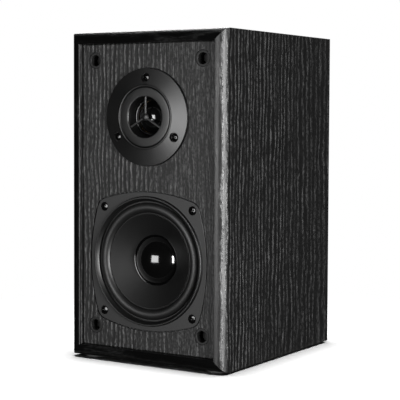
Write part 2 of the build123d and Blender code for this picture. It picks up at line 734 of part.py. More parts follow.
def leads_and_connectors(tweeter_back):
    """The leads between the terminals, the crossover and both drivers, in pairs."""
    past = CONNECTOR[1] - (BLADE_LENGTH - 1.5)
    board_tip = BOARD_FRONT_Y - BLADE_LENGTH
    cup_tip = CUP_FLOOR_Y - CUP_WALL - BLADE_LENGTH
    tweeter_tip = BAFFLE_Y + tweeter_back + 2 + BLADE_LENGTH
    lug_y = BAFFLE_Y + SPIDER_DEPTH + 2.7 + BLADE_THICKNESS / 2
    lug_tip = WOOFER_Z + 44 + BLADE_LENGTH
    tabs = board_tab_places()
    inputs, woofers, tweeters, connectors = [], [], [], []
    for side, (x, z) in zip((1, -1), tabs["input"]):
        cup_x, cup_z = side * LEVER_X, CUP_Z - WIRE_HOLE_DOWN
        front = min(board_tip, cup_tip) - past - 16
        inputs.append(
            lead(
                (cup_x, cup_tip - past, cup_z),
                (cup_x, front, cup_z),
                (x, front, z),
                (x, board_tip - past, z),
            )
        )
        connectors.append(connector((cup_x, cup_tip, cup_z), "-y"))
        connectors.append(connector((x, board_tip, z), "-y"))
    for side, (x, z) in zip((1, -1), tabs["woofer"]):
        lug_x = side * 6.0
        woofers.append(
            lead(
                (lug_x, lug_y, lug_tip + past),
                (lug_x, lug_y, lug_tip + past + 14),
                (side * 16.0, lug_y + 50, lug_tip + past + 4),
                (x, board_tip - past - 16, z),
                (x, board_tip - past, z),
            )
        )
        connectors.append(connector((lug_x, lug_y, lug_tip), "+z"))
        connectors.append(connector((x, board_tip, z), "-y"))
    for side, (x, z) in zip((1, -1), tabs["tweeter"]):
        lug_x, lug_z = side * 6.0, TWEETER_Z + 12
        tweeters.append(
            lead(
                (lug_x, tweeter_tip + past, lug_z),
                (lug_x, tweeter_tip + past + 14, lug_z),
                (side * 7.0, 5.0, lug_z - 18),
                (x, board_tip - past - 14, z),
                (x, board_tip - past, z),
            )
        )
        connectors.append(connector((lug_x, tweeter_tip, lug_z), "+y"))
        connectors.append(connector((x, board_tip, z), "-y"))
    return inputs, woofers, tweeters, connectors


def damping_pads():
    """Wadding sheets against both side panels."""
    y_range = (behind(0, BAFFLE_THICKNESS + CLEAT + 2)[1], INNER_REAR_Y - 10)
    z_range = (FLOOR_Z + 8, CEILING_Z - 8)
    right = block((INNER_X - DAMPING, INNER_X), y_range, z_range)
    right = fillet(right.edges().filter_by(Axis.X), 6.0)
    return [right, mirror(right, Plane.YZ)]


def build():
    """Every node's name with its solid or list of solids."""
    nodes = cabinet_walls()
    nodes["front_baffle"] = front_baffle()
    nodes["rear_panel"] = rear_panel()
    nodes["baffle_cleats"] = baffle_cleats()
    nodes["foot_pads"] = foot_pads()
    nodes["grille_sockets"] = grille_sockets()
    nodes["damping_pads"] = damping_pads()

    gasket_range = (FLANGE_THICKNESS, FLANGE_THICKNESS + GASKET_THICKNESS)
    gasket = woofer_plate(*gasket_range) - rod(WOOFER_CUTOUT_R, behind(-1, 5), 0, WOOFER_Z)
    for x, z in corners(WOOFER_SCREW_HALF, WOOFER_SCREW_HALF):
        gasket -= rod(2.0, behind(-1, 5), x, WOOFER_Z + z)
    nodes["woofer_gasket"] = gasket
    nodes["woofer_basket"] = woofer_basket()
    nodes["woofer_trim_ring"] = woofer_trim_ring()
    nodes["woofer_surround"] = woofer_surround()
    nodes["woofer_cone"] = woofer_cone()
    nodes["woofer_dust_cap"] = dome_shell(CAP_R, CAP_DEPTH, CAP_HEIGHT, CAP_WALL, WOOFER_Z)
    nodes["woofer_spider"] = woofer_spider()
    nodes["woofer_coil_former"], nodes["woofer_voice_coil"] = woofer_moving_coil()
    motor = woofer_motor()
    nodes["woofer_top_plate"], nodes["woofer_magnet"], nodes["woofer_back_plate"] = motor
    terminals = woofer_terminals()
    nodes["woofer_terminal_strip"], nodes["woofer_terminal_lugs"], nodes["woofer_tinsel_leads"] = terminals
    nodes["woofer_screws"] = woofer_screws()

    gasket = tube(35.2, 27.2, behind(-TWEETER_GASKET, 0), 0, TWEETER_Z)
    for x, z in ring_places(TWEETER_SCREW_CIRCLE_R, 3, 90):
        gasket -= rod(1.8, behind(-1, 1), x, TWEETER_Z + z)
    nodes["tweeter_gasket"] = gasket
    nodes["tweeter_faceplate"] = tweeter_faceplate()
    nodes["tweeter_guard"] = tweeter_guard()
    nodes["tweeter_dome"] = dome_shell(DOME_R, DOME_EDGE_DEPTH, DOME_HEIGHT, DOME_WALL, TWEETER_Z)
    nodes["tweeter_surround"] = tweeter_surround()
    nodes["tweeter_coil_former"], nodes["tweeter_voice_coil"] = tweeter_moving_coil()
    *motor, tweeter_back = tweeter_motor()
    nodes["tweeter_top_plate"], nodes["tweeter_magnet"], nodes["tweeter_back_plate"] = motor
    terminals = tweeter_terminals(tweeter_back)
    nodes["tweeter_terminal_strip"], nodes["tweeter_terminal_lugs"] = terminals
    nodes["tweeter_screws"] = tweeter_screws()

    nodes["terminal_cup"] = terminal_cup()
    nodes["terminal_lever_red"] = terminal_lever(-LEVER_X)
    nodes["terminal_lever_black"] = terminal_lever(LEVER_X)
    nodes["terminal_spring_red"] = terminal_spring(-LEVER_X)
    nodes["terminal_spring_black"] = terminal_spring(LEVER_X)
    nodes["lever_pins"] = lever_pins()
    nodes["terminal_contacts"] = [blade_at_cup(x) for x in (-LEVER_X, LEVER_X)]
    nodes["terminal_screws"] = terminal_screws()

    nodes["crossover_board"] = crossover_board()
    nodes["crossover_spacers"], nodes["crossover_screws"] = crossover_fixings()
    nodes["crossover_tabs"] = board_tabs()
    nodes["tweeter_capacitor"] = capacitor(-22, BOARD_Z + 12, 6.0, 24.0)
    nodes["woofer_capacitor"] = capacitor(-22, BOARD_Z - 6, 8.0, 30.0)
    nodes["woofer_inductor"] = inductor(16, BOARD_Z)
    nodes["attenuator_resistor"] = centred_block(
        -20, (BOARD_FRONT_Y - 8, BOARD_FRONT_Y), BOARD_Z + 24, 22, 7
    )
    inputs, woofers, tweeters, connectors = leads_and_connectors(tweeter_back)
    nodes["input_leads"] = inputs
    nodes["woofer_leads"] = woofers
    nodes["tweeter_leads"] = tweeters
    nodes["lead_connectors"] = connectors
    return nodes


def solids_of(shape):
    """One solid, or a compound of several separate ones."""
    solids = shape if isinstance(shape, list) else [shape]
    found = [solid for piece in solids for solid in piece.solids()]
    return found[0] if len(found) == 1 else Compound(found)


os.makedirs("parts", exist_ok=True)
for name, shape in build().items():
    export_step(solids_of(shape), f"parts/{name}.step")
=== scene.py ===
import json
from math import atan2, cos, hypot, pi, radians, sin, sqrt, tan

import bmesh
import bpy
from mathutils import Matrix, Vector

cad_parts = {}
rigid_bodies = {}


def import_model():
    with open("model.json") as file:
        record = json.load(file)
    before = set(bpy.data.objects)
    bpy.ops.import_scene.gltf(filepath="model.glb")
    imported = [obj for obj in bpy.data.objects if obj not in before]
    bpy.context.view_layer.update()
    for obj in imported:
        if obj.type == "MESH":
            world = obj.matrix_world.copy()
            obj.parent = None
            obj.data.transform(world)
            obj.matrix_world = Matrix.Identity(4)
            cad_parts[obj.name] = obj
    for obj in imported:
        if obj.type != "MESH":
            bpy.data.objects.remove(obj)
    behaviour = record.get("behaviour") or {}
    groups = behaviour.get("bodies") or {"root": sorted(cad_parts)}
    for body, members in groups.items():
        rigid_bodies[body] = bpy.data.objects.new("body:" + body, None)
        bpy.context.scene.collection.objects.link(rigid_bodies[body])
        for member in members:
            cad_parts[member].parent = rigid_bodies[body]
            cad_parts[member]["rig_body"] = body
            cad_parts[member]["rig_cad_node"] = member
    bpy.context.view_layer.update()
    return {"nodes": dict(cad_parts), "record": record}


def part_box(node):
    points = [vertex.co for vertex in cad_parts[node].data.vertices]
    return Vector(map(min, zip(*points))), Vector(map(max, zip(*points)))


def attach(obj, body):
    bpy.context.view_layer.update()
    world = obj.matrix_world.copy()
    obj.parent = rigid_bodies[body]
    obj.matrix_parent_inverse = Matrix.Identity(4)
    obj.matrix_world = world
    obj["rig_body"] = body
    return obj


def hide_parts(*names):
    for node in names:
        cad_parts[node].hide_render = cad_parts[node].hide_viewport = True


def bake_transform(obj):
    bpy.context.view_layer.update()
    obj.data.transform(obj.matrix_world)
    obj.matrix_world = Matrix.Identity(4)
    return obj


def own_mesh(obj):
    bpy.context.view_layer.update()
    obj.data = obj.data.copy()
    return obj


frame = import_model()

# Two-way bookshelf loudspeaker. Outlines are in millimetres and the frame is in metres.
MM = 0.001
NODES = frame["nodes"]
ROUND_STEPS = 144
SMALL_STEPS = 64
SHARP_ANGLE = radians(38)
LEAST_CORNER = radians(20)
ON_AXIS = 1e-6


def limits(node):
    """Lowest and highest corner of a CAD node, in millimetres."""
    low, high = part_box(node)
    return low / MM, high / MM


# Places that the frame gives
BAFFLE_LOW, BAFFLE_HIGH = limits("front_baffle")
SIDE_LOW, SIDE_HIGH = limits("right_side_panel")
BAFFLE_Y = BAFFLE_LOW.y
FRONT_Y = SIDE_LOW.y
REAR_Y = SIDE_HIGH.y
HALF_WIDTH = SIDE_HIGH.x
LOW_Z, HIGH_Z = SIDE_LOW.z, SIDE_HIGH.z
WALL = HALF_WIDTH - BAFFLE_HIGH.x
WOOFER_Z = (limits("woofer_dust_cap")[0].z + limits("woofer_dust_cap")[1].z) / 2
TWEETER_Z = (limits("tweeter_dome")[0].z + limits("tweeter_dome")[1].z) / 2
FACEPLATE_R = limits("tweeter_faceplate")[1].x
WOOFER_HALF = limits("woofer_basket")[1].x

# The cabinet's edges and the baffle's holes
FRONT_ROUND = 7.5
INNER_ROUND = 0.6
WALL_EDGE = 0.15
BAFFLE_CHAMFER = 0.8
WOOFER_HOLE_R = 50.5
TWEETER_HOLE_R = 26.8
POCKET_DEPTH = 1.7
POCKET_GAP = 0.75
PAD_R = 7.0

# Grille sockets
SOCKET_RIM_R = 6.2
SOCKET_RIM_DEPTH = 1.2
SOCKET_BARREL_R = 5.25
SOCKET_BORE_R = 4.15
SOCKET_BORE_DEPTH = 7.8
SOCKET_END = 8.6

# The woofer's frame: a square flange, a landing for the surround and a shelf for the spider
WOOFER_SIDE_R = 131.6
WOOFER_CORNER_R = 9.0
WOOFER_SCREW_HALF = 40.0
SHEET = 1.2
FLANGE_EDGE = 0.25
LANDING_R = 49.0
LANDING_DEPTH = 3.0
SHELF_DEPTH = 22.0
BOWL_DEPTH = 30.0
BOWL_BORE_R = 15.0

# The tweeter's faceplate
TWEETER_SCREW_R = 29.7
SPOKE_ANGLES = (90, 210, 330)
FACEPLATE_FOOT = -0.4
FACEPLATE_CROWN = (24.4, -4.05)
RING_LEVEL = -4.0
THROAT_DEPTH = 5.0


# -------------------------------- shapes

def arc(start, middle, end, steps):
    """Points after start on the circle through three points, up to end."""
    (ax, ay), (bx, by), (cx, cy) = start, middle, end
    d = 2 * (ax * (by - cy) + bx * (cy - ay) + cx * (ay - by))
    ux = ((ax**2 + ay**2) * (by - cy) + (bx**2 + by**2) * (cy - ay) + (cx**2 + cy**2) * (ay - by)) / d
    uy = ((ax**2 + ay**2) * (cx - bx) + (bx**2 + by**2) * (ax - cx) + (cx**2 + cy**2) * (bx - ax)) / d
    radius = hypot(ax - ux, ay - uy)
    first = atan2(ay - uy, ax - ux)
    mid_turn = (atan2(by - uy, bx - ux) - first) % (2 * pi)
    turn = (atan2(cy - uy, cx - ux) - first) % (2 * pi)
    if mid_turn > turn:
        turn -= 2 * pi
    return [
        (ux + radius * cos(first + turn * i / steps), uy + radius * sin(first + turn * i / steps))
        for i in range(1, steps + 1)
    ]


def rounding(before, corner, after, radius, steps):
    """Points that round one corner of an outline."""
    here = Vector(corner)
    back, on = Vector(before) - here, Vector(after) - here
    turn = pi - back.angle(on, pi)
    reach = min(radius * tan(turn / 2), back.length * 0.45, on.length * 0.45)
    a, b = here + back.normalized() * reach, here + on.normalized() * reach
    shares = [step / steps for step in range(steps + 1)]
    return [tuple(a * (1 - t) ** 2 + here * 2 * t * (1 - t) + b * t**2) for t in shares]


def softened(points, radius, steps=4):
    """Closed outline with its corners rounded, apart from slight ones and those on the axis."""
    made = []
    for i, point in enumerate(points):
        before, after = points[i - 1], points[(i + 1) % len(points)]
        here = Vector(point)
        turn = pi - (Vector(before) - here).angle(Vector(after) - here, pi)
        if turn < LEAST_CORNER or here.x < ON_AXIS:
            made.append(point)
        else:
            made += rounding(before, point, after, radius, steps)
    return made


def turned(outline, z=0.0, x=0.0, y=BAFFLE_Y, steps=ROUND_STEPS):
    """Closed outline of (radius, depth behind y) turned about an axis along Y."""
    verts, faces, rings = [], [], []
    for radius, depth in outline:
        count = 1 if radius < ON_AXIS else steps
        rings.append((len(verts), count))
        for i in range(count):
            angle = 2 * pi * i / steps
            verts.append((x + radius * cos(angle), y + depth, z + radius * sin(angle)))
    for (first, first_count), (second, second_count) in zip(rings, rings[1:] + rings[:1]):
        if first_count == second_count == 1:
            continue
        for i in range(steps):
            j = (i + 1) % steps
            if first_count == 1:
                faces.append((first, second + i, second + j))
            elif second_count == 1:
                faces.append((first + i, second, first + j))
            else:
                faces.append((first + i, second + i, second + j, first + j))
    return verts, faces


def stacked(loops):
    """Closed solid through loops of equally many points, capped at both ends."""
    verts = [point for loop in loops for point in loop]
    count = len(loops[0])
    faces = [tuple(range(count)), tuple(range(len(verts) - count, len(verts)))]
    for layer in range(len(loops) - 1):
        start = layer * count
        for i in range(count):
            j = (i + 1) % count
            faces.append((start + i, start + j, start + count + j, start + count + i))
    return verts, faces


def prism(outline, y_low, y_high):
    """Solid with one outline in x and z between two places along Y."""
    return stacked([[(x, y, z) for x, z in outline] for y in (y_low, y_high)])


def placed(shape, matrix):
    """A shape moved by a matrix."""
    verts, faces = shape
    return [tuple(matrix @ Vector(v)) for v in verts], faces


def together(*shapes):
    """Several shapes as one, each still closed by itself."""
    verts, faces = [], []
    for some_verts, some_faces in shapes:
        start = len(verts)
        verts += some_verts
        faces += [tuple(i + start for i in face) for face in some_faces]
    return verts, faces


def scene_object(name, data):
    """Object that the scene holds."""
    obj = bpy.data.objects.new(name, data)
    bpy.context.scene.collection.objects.link(obj)
    return obj


def mesh_object(name, shape):
    """Object with outward normals, in metres, shaded smooth up to SHARP_ANGLE."""
    mesh = bpy.data.meshes.new(name)
    verts, faces = shape
    mesh.from_pydata([tuple(c * MM for c in v) for v in verts], [], faces)
    return clean(scene_object(name, mesh))


def bmesh_object(name, bm):
    """Object that holds what was built in bm, which is freed."""
    mesh = bpy.data.meshes.new(name)
    bm.to_mesh(mesh)
    bm.free()
    return scene_object(name, mesh)


def clean(obj):
    """Merges doubled points, turns the faces outward and marks the sharp edges."""
    bm = bmesh.new()
    bm.from_mesh(obj.data)
    bmesh.ops.remove_doubles(bm, verts=bm.verts, dist=1e-7)
    bmesh.ops.dissolve_degenerate(bm, edges=bm.edges, dist=1e-8)
    bmesh.ops.recalc_face_normals(bm, faces=bm.faces)
    bm.to_mesh(obj.data)
    bm.free()
    obj.data.polygons.foreach_set("use_smooth", [True] * len(obj.data.polygons))
    obj.data.set_sharp_from_angle(angle=SHARP_ANGLE)
    return obj


def settle(obj):
    """Applies an object's modifiers to its mesh."""
    graph = bpy.context.evaluated_depsgraph_get()
    made = bpy.data.meshes.new_from_object(obj.evaluated_get(graph))
    obj.modifiers.clear()
    obj.data = made
    return obj


def cut(obj, *cutters):
    """Takes shapes away from an object."""
    for shape in cutters:
        cutter = mesh_object("cutter", shape)
        change = obj.modifiers.new("cut", "BOOLEAN")
        change.operation = "DIFFERENCE"
        change.solver = "EXACT"
        change.object = cutter
        settle(obj)
        bpy.data.objects.remove(cutter)
    return clean(obj)


def edge_bevel(obj, width, segments, angle):
    """Modifier that rounds the edges sharper than an angle."""
    change = obj.modifiers.new("edges", "BEVEL")
    change.width = width * MM
    change.segments = segments
    change.limit_method = "ANGLE"
    change.angle_limit = radians(angle)
    return change


def bevelled(obj, width, segments=2, angle=60):
    """Rounds an object's sharp edges."""
    edge_bevel(obj, width, segments, angle)
    return clean(settle(obj))


def finish_piece(obj, material, node, body="cabinet"):
    """Gives a piece its material and its body, if it rides on one alone, and hides the CAD node that it
    stands for."""
    obj.data.materials.clear()
    obj.data.materials.append(material)
    weigh = obj.modifiers.new("normals", "WEIGHTED_NORMAL")
    weigh.keep_sharp = True
    if body:
        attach(obj, body)
    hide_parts(node)
    return obj


# -------------------------------- materials

def grey(value):
    return (value, value, value)


def shade(color, factor):
    """A colour made darker or lighter."""
    return tuple(min(1.0, c * factor) for c in color)


class Surface:
    """Principled material with its nodes within easy reach."""

    def __init__(self, name, color, roughness, specular=0.5, metallic=0.0):
        self.material = bpy.data.materials.new(name)
        self.material.use_nodes = True
        self.tree = self.material.node_tree
        self.shader = self.tree.nodes["Principled BSDF"]
        self.shader.inputs["Base Color"].default_value = (*color, 1.0)
        self.shader.inputs["Roughness"].default_value = roughness
        self.shader.inputs["Specular IOR Level"].default_value = specular
        self.shader.inputs["Metallic"].default_value = metallic
        self.place = self.node("ShaderNodeTexCoord", {}).outputs["Object"]

    def node(self, kind, inputs, **settings):
        """Adds a node. Each of its inputs is set to a value, or linked to another node's output."""
        made = self.tree.nodes.new(kind)
        for key, value in settings.items():
            setattr(made, key, value)
        for key, value in inputs.items():
            if isinstance(value, bpy.types.NodeSocket):
                self.link(value, made.inputs[key])
            else:
                made.inputs[key].default_value = value
        return made

    def link(self, output, target):
        self.tree.links.new(output, target)

    def stretched(self, scale, source=None, shift=(0, 0, 0)):
        """Coordinates scaled by axis, to draw a pattern out along one of them."""
        inputs = {"Vector": source or self.place, "Scale": scale, "Location": shift}
        return self.node("ShaderNodeMapping", inputs).outputs["Vector"]

    def noise(self, scale, detail, rough, source=None, output="Fac"):
        inputs = {"Vector": source or self.place, "Scale": scale, "Detail": detail, "Roughness": rough}
        return self.node("ShaderNodeTexNoise", inputs).outputs[output]

    def bands(self, direction, pitch, distortion=0.0):
        inputs = {"Vector": self.place, "Scale": 1.0 / pitch / 2, "Distortion": distortion}
        made = self.node("ShaderNodeTexWave", inputs, wave_type="BANDS", bands_direction=direction)
        return made.outputs["Fac"]

    def ramp(self, source, *stops):
        """Colour ramp whose stops are (place, value) or (place, (red, green, blue))."""
        made = self.node("ShaderNodeValToRGB", {"Fac": source})
        while len(made.color_ramp.elements) < len(stops):
            made.color_ramp.elements.new(0.5)
        for element, (position, value) in zip(made.color_ramp.elements, stops):
            element.position = position
            tone = value if isinstance(value, tuple) else grey(value)
            element.color = (*tone, 1.0)
        return made.outputs["Color"]

    def math(self, operation, *values):
        return self.node("ShaderNodeMath", dict(enumerate(values)), operation=operation).outputs[0]

    def vector(self, operation, *values):
        return self.node("ShaderNodeVectorMath", dict(enumerate(values)), operation=operation).outputs[0]

    def ranged(self, source, *spans, **settings):
        """Maps source from one range to another: from low, from high, to low, to high."""
        inputs = dict(zip(("From Min", "From Max", "To Min", "To Max"), spans), Value=source)
        return self.node("ShaderNodeMapRange", inputs, **settings).outputs["Result"]

    def mix(self, factor, a, b):
        """a where factor is 0 and b where it is 1, for plain values."""
        return self.node("ShaderNodeMix", {0: factor, 2: a, 3: b}, data_type="FLOAT").outputs[0]

    def bump(self, height, strength, distance):
        inputs = {"Height": height, "Strength": strength, "Distance": distance}
        self.link(self.node("ShaderNodeBump", inputs).outputs["Normal"], self.shader.inputs["Normal"])

    def colour_between(self, factor, dark, light):
        self.link(self.ramp(factor, (0.0, dark), (1.0, light)), self.shader.inputs["Base Color"])

    def roughness_between(self, factor, low, high):
        self.link(self.ranged(factor, 0.0, 1.0, low, high), self.shader.inputs["Roughness"])


# Wander of the whole grain: (noise scale, share of it along the grain, reach in metres)
GRAIN_WANDER = ((11.0, 0.3, 0.0040), (150.0, 0.6, 0.0004))
# Waver of the ridges: (noise scale, share of it along the grain, cycles)
RIDGE_WAVER = ((30.0, 0.30, 2.0), (75.0, 0.35, 1.1), (260.0, 0.45, 0.5))
# Stops that turn a sine or a noise into ridges, patches, fibres and dashes
RIDGE_STOPS = ((0.12, 0.0), (0.55, 0.36), (0.95, 1.0))
PATCH_STOPS = ((0.32, 0.25), (0.66, 0.85))
FIBRE_STOPS = ((0.34, 0.0), (0.64, 1.0))
DASH_STOPS = ((0.36, 0.0), (0.60, 1.0))
# How much the fibres and dashes add to a tone, and the share of it that stays without them
FIBRE_WEIGHT = (0.80, 0.45)
DASH_WEIGHT = (0.65, 0.48)
MIDDLE_TONE = 0.34
EMBOSSING = 0.00026


def black_ash(name, along, across, zone, ridges, calm, shift, tones, gloss, specular):
    """Embossed black vinyl with ash grain along one axis, in metres. Over the zone (start, end) on
    the across axis, the ridges go from the first spacing to the last. They fade to a share of
    their height and to a tone over calm (start, end, share, tone). tones are those of the
    grooves, the middle and the ridges, and gloss is the roughness of the grooves and ridges."""
    made = Surface(name, grey(0.01), 0.5, specular)
    axis = "XYZ".index(along)

    def along_grain(share):
        return [share if i == axis else 1.0 for i in range(3)]

    bent = made.place
    for scale, share, reach in GRAIN_WANDER:
        source = made.stretched(along_grain(share), shift=shift)
        centred = made.vector("SUBTRACT", made.noise(scale, 2.0, 0.45, source, "Color"), grey(0.5))
        bent = made.vector("ADD", bent, made.vector("MULTIPLY", centred, grey(reach)))

    def drawn(scale, share, jump, detail=2.0):
        source = made.stretched(along_grain(share), bent, tuple(c + jump for c in shift))
        return made.noise(scale, detail, 0.55, source)

    def weighed(source, stops, weight):
        return made.math("ADD", made.math("MULTIPLY", made.ramp(source, *stops), weight[0]), weight[1])

    place = made.node("ShaderNodeSeparateXYZ", {0: bent}).outputs[across]
    start, end = zone
    first, last = (1.0 / spacing for spacing in ridges)
    far = made.ranged(place, start, end, 0.0, 1.0)
    bend = made.math("MULTIPLY", made.math("MULTIPLY", far, far), (last - first) * (end - start) / 2)
    phase = made.math("ADD", made.math("MULTIPLY", place, first), bend)
    for scale, share, cycles in RIDGE_WAVER:
        sway = made.math("SUBTRACT", drawn(scale, share, scale / 40), 0.5)
        phase = made.math("ADD", phase, made.math("MULTIPLY", sway, cycles))
    wave = made.math("SINE", made.math("MULTIPLY", phase, 2 * pi))
    ridge = made.ramp(made.math("ADD", made.math("MULTIPLY", wave, 0.5), 0.5), *RIDGE_STOPS)
    patches = made.ramp(drawn(120.0, 0.12, 5.7), *PATCH_STOPS)
    calm_start, calm_end, calm_share, calm_tone = calm
    height = made.math("MULTIPLY", patches, made.ranged(place, calm_start, calm_end, 1.0, calm_share))
    tone = made.mix(height, calm_tone, ridge)
    tone = made.math("MULTIPLY", tone, weighed(drawn(1250.0, 0.05, 3.1), FIBRE_STOPS, FIBRE_WEIGHT))
    tone = made.math("MULTIPLY", tone, weighed(drawn(720.0, 0.50, 8.3, 3.0), DASH_STOPS, DASH_WEIGHT))
    dark, middle, light = tones
    colour = made.ramp(tone, (0.0, dark), (MIDDLE_TONE, middle), (1.0, light))
    made.link(colour, made.shader.inputs["Base Color"])
    made.roughness_between(tone, *gloss)
    made.bump(tone, 0.8, EMBOSSING)
    return made.material


def moulded(name, color, roughness, pebble=2600.0, depth=0.00003, strength=0.35, specular=0.5):
    """Moulded plastic or paint: a fine pebble, and a broad drift in its gloss and tone."""
    made = Surface(name, color, roughness, specular)
    fine = made.noise(pebble, 2.0, 0.6)
    drift = made.noise(45.0, 3.0, 0.55)
    made.colour_between(drift, shade(color, 0.82), shade(color, 1.18))
    made.roughness_between(drift, roughness * 0.86, min(1.0, roughness * 1.14))
    made.bump(fine, strength, depth)
    return made.material


def rubber(name, color, roughness):
    """Rubber with a faint bloom and dust."""
    made = Surface(name, color, roughness)
    fine = made.noise(1700.0, 3.0, 0.65)
    bloom = made.noise(70.0, 4.0, 0.6)
    made.colour_between(bloom, shade(color, 0.75), shade(color, 1.35))
    made.roughness_between(bloom, roughness * 0.85, roughness * 1.2)
    made.bump(fine, 0.25, 0.00004)
    return made.material


def pressed_paper(name, color, roughness):
    """Paper pulp with short fibres that show in its gloss."""
    made = Surface(name, color, roughness, 0.45)
    fibres = made.noise(900.0, 5.0, 0.7)
    pulp = made.noise(160.0, 3.0, 0.6)
    made.colour_between(pulp, shade(color, 0.8), shade(color, 1.25))
    made.roughness_between(fibres, roughness * 0.8, roughness * 1.2)
    made.bump(fibres, 0.3, 0.00005)
    return made.material


def woven(name, color, pitch, roughness):
    """Cloth whose threads cross in x and z, with painted shade in the gaps between the threads."""
    made = Surface(name, color, roughness)
    weave = made.math("MAXIMUM", made.bands("X", pitch, 0.6), made.bands("Z", pitch, 0.6))
    # Darker in the gaps between the threads: painted shade.
    made.colour_between(weave, shade(color, 0.6), shade(color, 1.15))
    made.bump(weave, 0.4, 0.0001)
    return made.material


def metal(name, color, roughness):
    """Metal with faint scratches along z and stains."""
    made = Surface(name, color, roughness, metallic=1.0)
    lines = made.noise(1400.0, 3.0, 0.6, made.stretched((1.0, 1.0, 0.08)))
    stain = made.noise(90.0, 4.0, 0.6)
    made.colour_between(stain, shade(color, 0.8), color)
    made.roughness_between(lines, roughness * 0.7, min(1.0, roughness * 1.35))
    made.bump(lines, 0.15, 0.00003)
    return made.material


def fibrous(name, color, roughness, speck=700.0, light=1.5, depth=0.0002):
    """Board, felt or foam: mottled, rough and dull."""
    made = Surface(name, color, roughness, 0.3)
    specks = made.noise(speck, 4.0, 0.7)
    made.colour_between(specks, shade(color, 0.55), shade(color, light))
    made.bump(specks, 0.6, depth)
    return made.material


def winding(name, color, pitch):
    """Wire wound round an axis along y, one turn beside the next, with painted shade in the grooves
    between the turns.
    """
    made = Surface(name, color, 0.28, metallic=1.0)
    turns = made.bands("Y", pitch)
    # Darker in the grooves between the turns: painted shade.
    made.colour_between(turns, shade(color, 0.45), color)
    made.bump(turns, 0.8, pitch * 0.4)
    return made.material


# Grain of the wrap and of the baffle, as black_ash takes them
WRAP_GRAIN = ((-0.080, 0.085), (0.0042, 0.0092), (-0.040, 0.060, 0.50, 0.42))
BAFFLE_GRAIN = ((-0.060, 0.060), (0.0038, 0.0044), (-0.020, 0.035, 0.28, 0.52))
SIDE_TONES = (0.0002, 0.0068, 0.078)
# The top and bottom walls take darker tones than the sides, though the same vinyl wraps all four:
# painted shade on the walls that face up and down.
RAIL_TONES_PAINTED_SHADE = (0.0002, 0.0030, 0.028)
BAFFLE_TONES = (0.0002, 0.0066, 0.092)
WRAP_GLOSS = (0.46, 0.27)
BAFFLE_GLOSS = (0.56, 0.42)
SIDE_SHIFT = (0.31, 0.17, 0.05)
RAIL_SHIFT = (2.43, 1.11, 0.77)
BAFFLE_SHIFT = (1.72, 0.64, 0.28)
ASH_SIDE = black_ash("black_ash_side", "Z", "Y", *WRAP_GRAIN, SIDE_SHIFT, SIDE_TONES, WRAP_GLOSS, 0.5)
# Top and bottom walls: the sides' vinyl with darker tones, which is painted shade.
ASH_TOP_BOTTOM_PAINTED_SHADE = black_ash("black_ash_top_bottom_painted_shade", "X", "Y", *WRAP_GRAIN, RAIL_SHIFT, RAIL_TONES_PAINTED_SHADE, WRAP_GLOSS, 0.4)
ASH_BAFFLE = black_ash(
    "black_ash_baffle", "Z", "X", *BAFFLE_GRAIN, BAFFLE_SHIFT, BAFFLE_TONES, BAFFLE_GLOSS, 0.3
)
COPPER_TONE = (0.80, 0.36, 0.18)
REAR_BOARD = fibrous("rear_board", grey(0.022), 0.62, 900.0, 1.6, 0.00012)
BARE_BOARD = fibrous("bare_board", (0.33, 0.22, 0.12), 0.85, 600.0, 1.35)
FOOT_RUBBER = rubber("foot_rubber", grey(0.018), 0.8)
SOCKET_PLASTIC = moulded("socket_plastic", grey(0.006), 0.50, specular=0.3)
CUP_PLASTIC = moulded("cup_plastic", (0.018, 0.018, 0.019), 0.45, 1800.0, strength=0.5)
FACE_PLASTIC = moulded("faceplate_plastic", grey(0.002), 0.32, strength=0.22)
RING_PLASTIC = moulded("ring_plastic", grey(0.002), 0.36, strength=0.2)
RED_PLASTIC = moulded("red_plastic", (0.42, 0.014, 0.012), 0.28, strength=0.15)
LEVER_BLACK = moulded("lever_black_plastic", (0.014, 0.014, 0.015), 0.28, strength=0.15)
CAP_GLOSS = moulded("cap_gloss", grey(0.001), 0.10, 900.0, 0.00002, 0.05, specular=0.75)
DOME_GLOSS = moulded("dome_gloss", grey(0.0015), 0.09, 1400.0, strength=0.10, specular=0.9)
BASKET_PAINT = moulded("basket_paint", grey(0.012), 0.48, 2200.0, specular=0.4)
SURROUND_RUBBER = rubber("surround_rubber", grey(0.0025), 0.44)
CONE_PAPER = pressed_paper("cone_paper", grey(0.0025), 0.44)
FORMER_PAPER = pressed_paper("former_paper", (0.42, 0.28, 0.14), 0.7)
COPPER = winding("copper_winding", COPPER_TONE, 0.0004)
COIL_COPPER = winding("copper_coil", COPPER_TONE, 0.0011)
SPIDER_CLOTH = woven("spider_cloth", (0.55, 0.38, 0.12), 0.0008, 0.8)
PLATED_STEEL = metal("plated_steel", (0.62, 0.60, 0.55), 0.32)
BLACK_SCREW = moulded("black_screw", grey(0.0015), 0.13, 1800.0, strength=0.25)
FERRITE = fibrous("ferrite", (0.05, 0.05, 0.052), 0.55, 1200.0, 1.4, 0.00006)
FOAM = fibrous("foam", grey(0.028), 0.95, 1500.0, 1.7, 0.0003)
WADDING = fibrous("wadding", (0.62, 0.62, 0.58), 0.98, 420.0, 1.25, 0.0012)
FIBRE_BOARD = fibrous("fibre_board", (0.30, 0.16, 0.06), 0.7)
BRASS = metal("brass", (0.78, 0.58, 0.26), 0.26)
CIRCUIT_BOARD = moulded("circuit_board", (0.03, 0.11, 0.045), 0.42, 1200.0, strength=0.3)
NYLON = moulded("nylon", (0.70, 0.68, 0.60), 0.45)
CAPACITOR_FILM = moulded("capacitor_film", (0.55, 0.36, 0.05), 0.22, strength=0.12)
RESISTOR_CERAMIC = fibrous("resistor_ceramic", (0.72, 0.70, 0.64), 0.8, 1500.0, 1.15, 0.00008)
WIRE_RED = moulded("wire_red", (0.45, 0.02, 0.02), 0.42, strength=0.15)
WIRE_BLACK = moulded("wire_black", grey(0.02), 0.42, strength=0.15)


# -------------------------------- cabinet

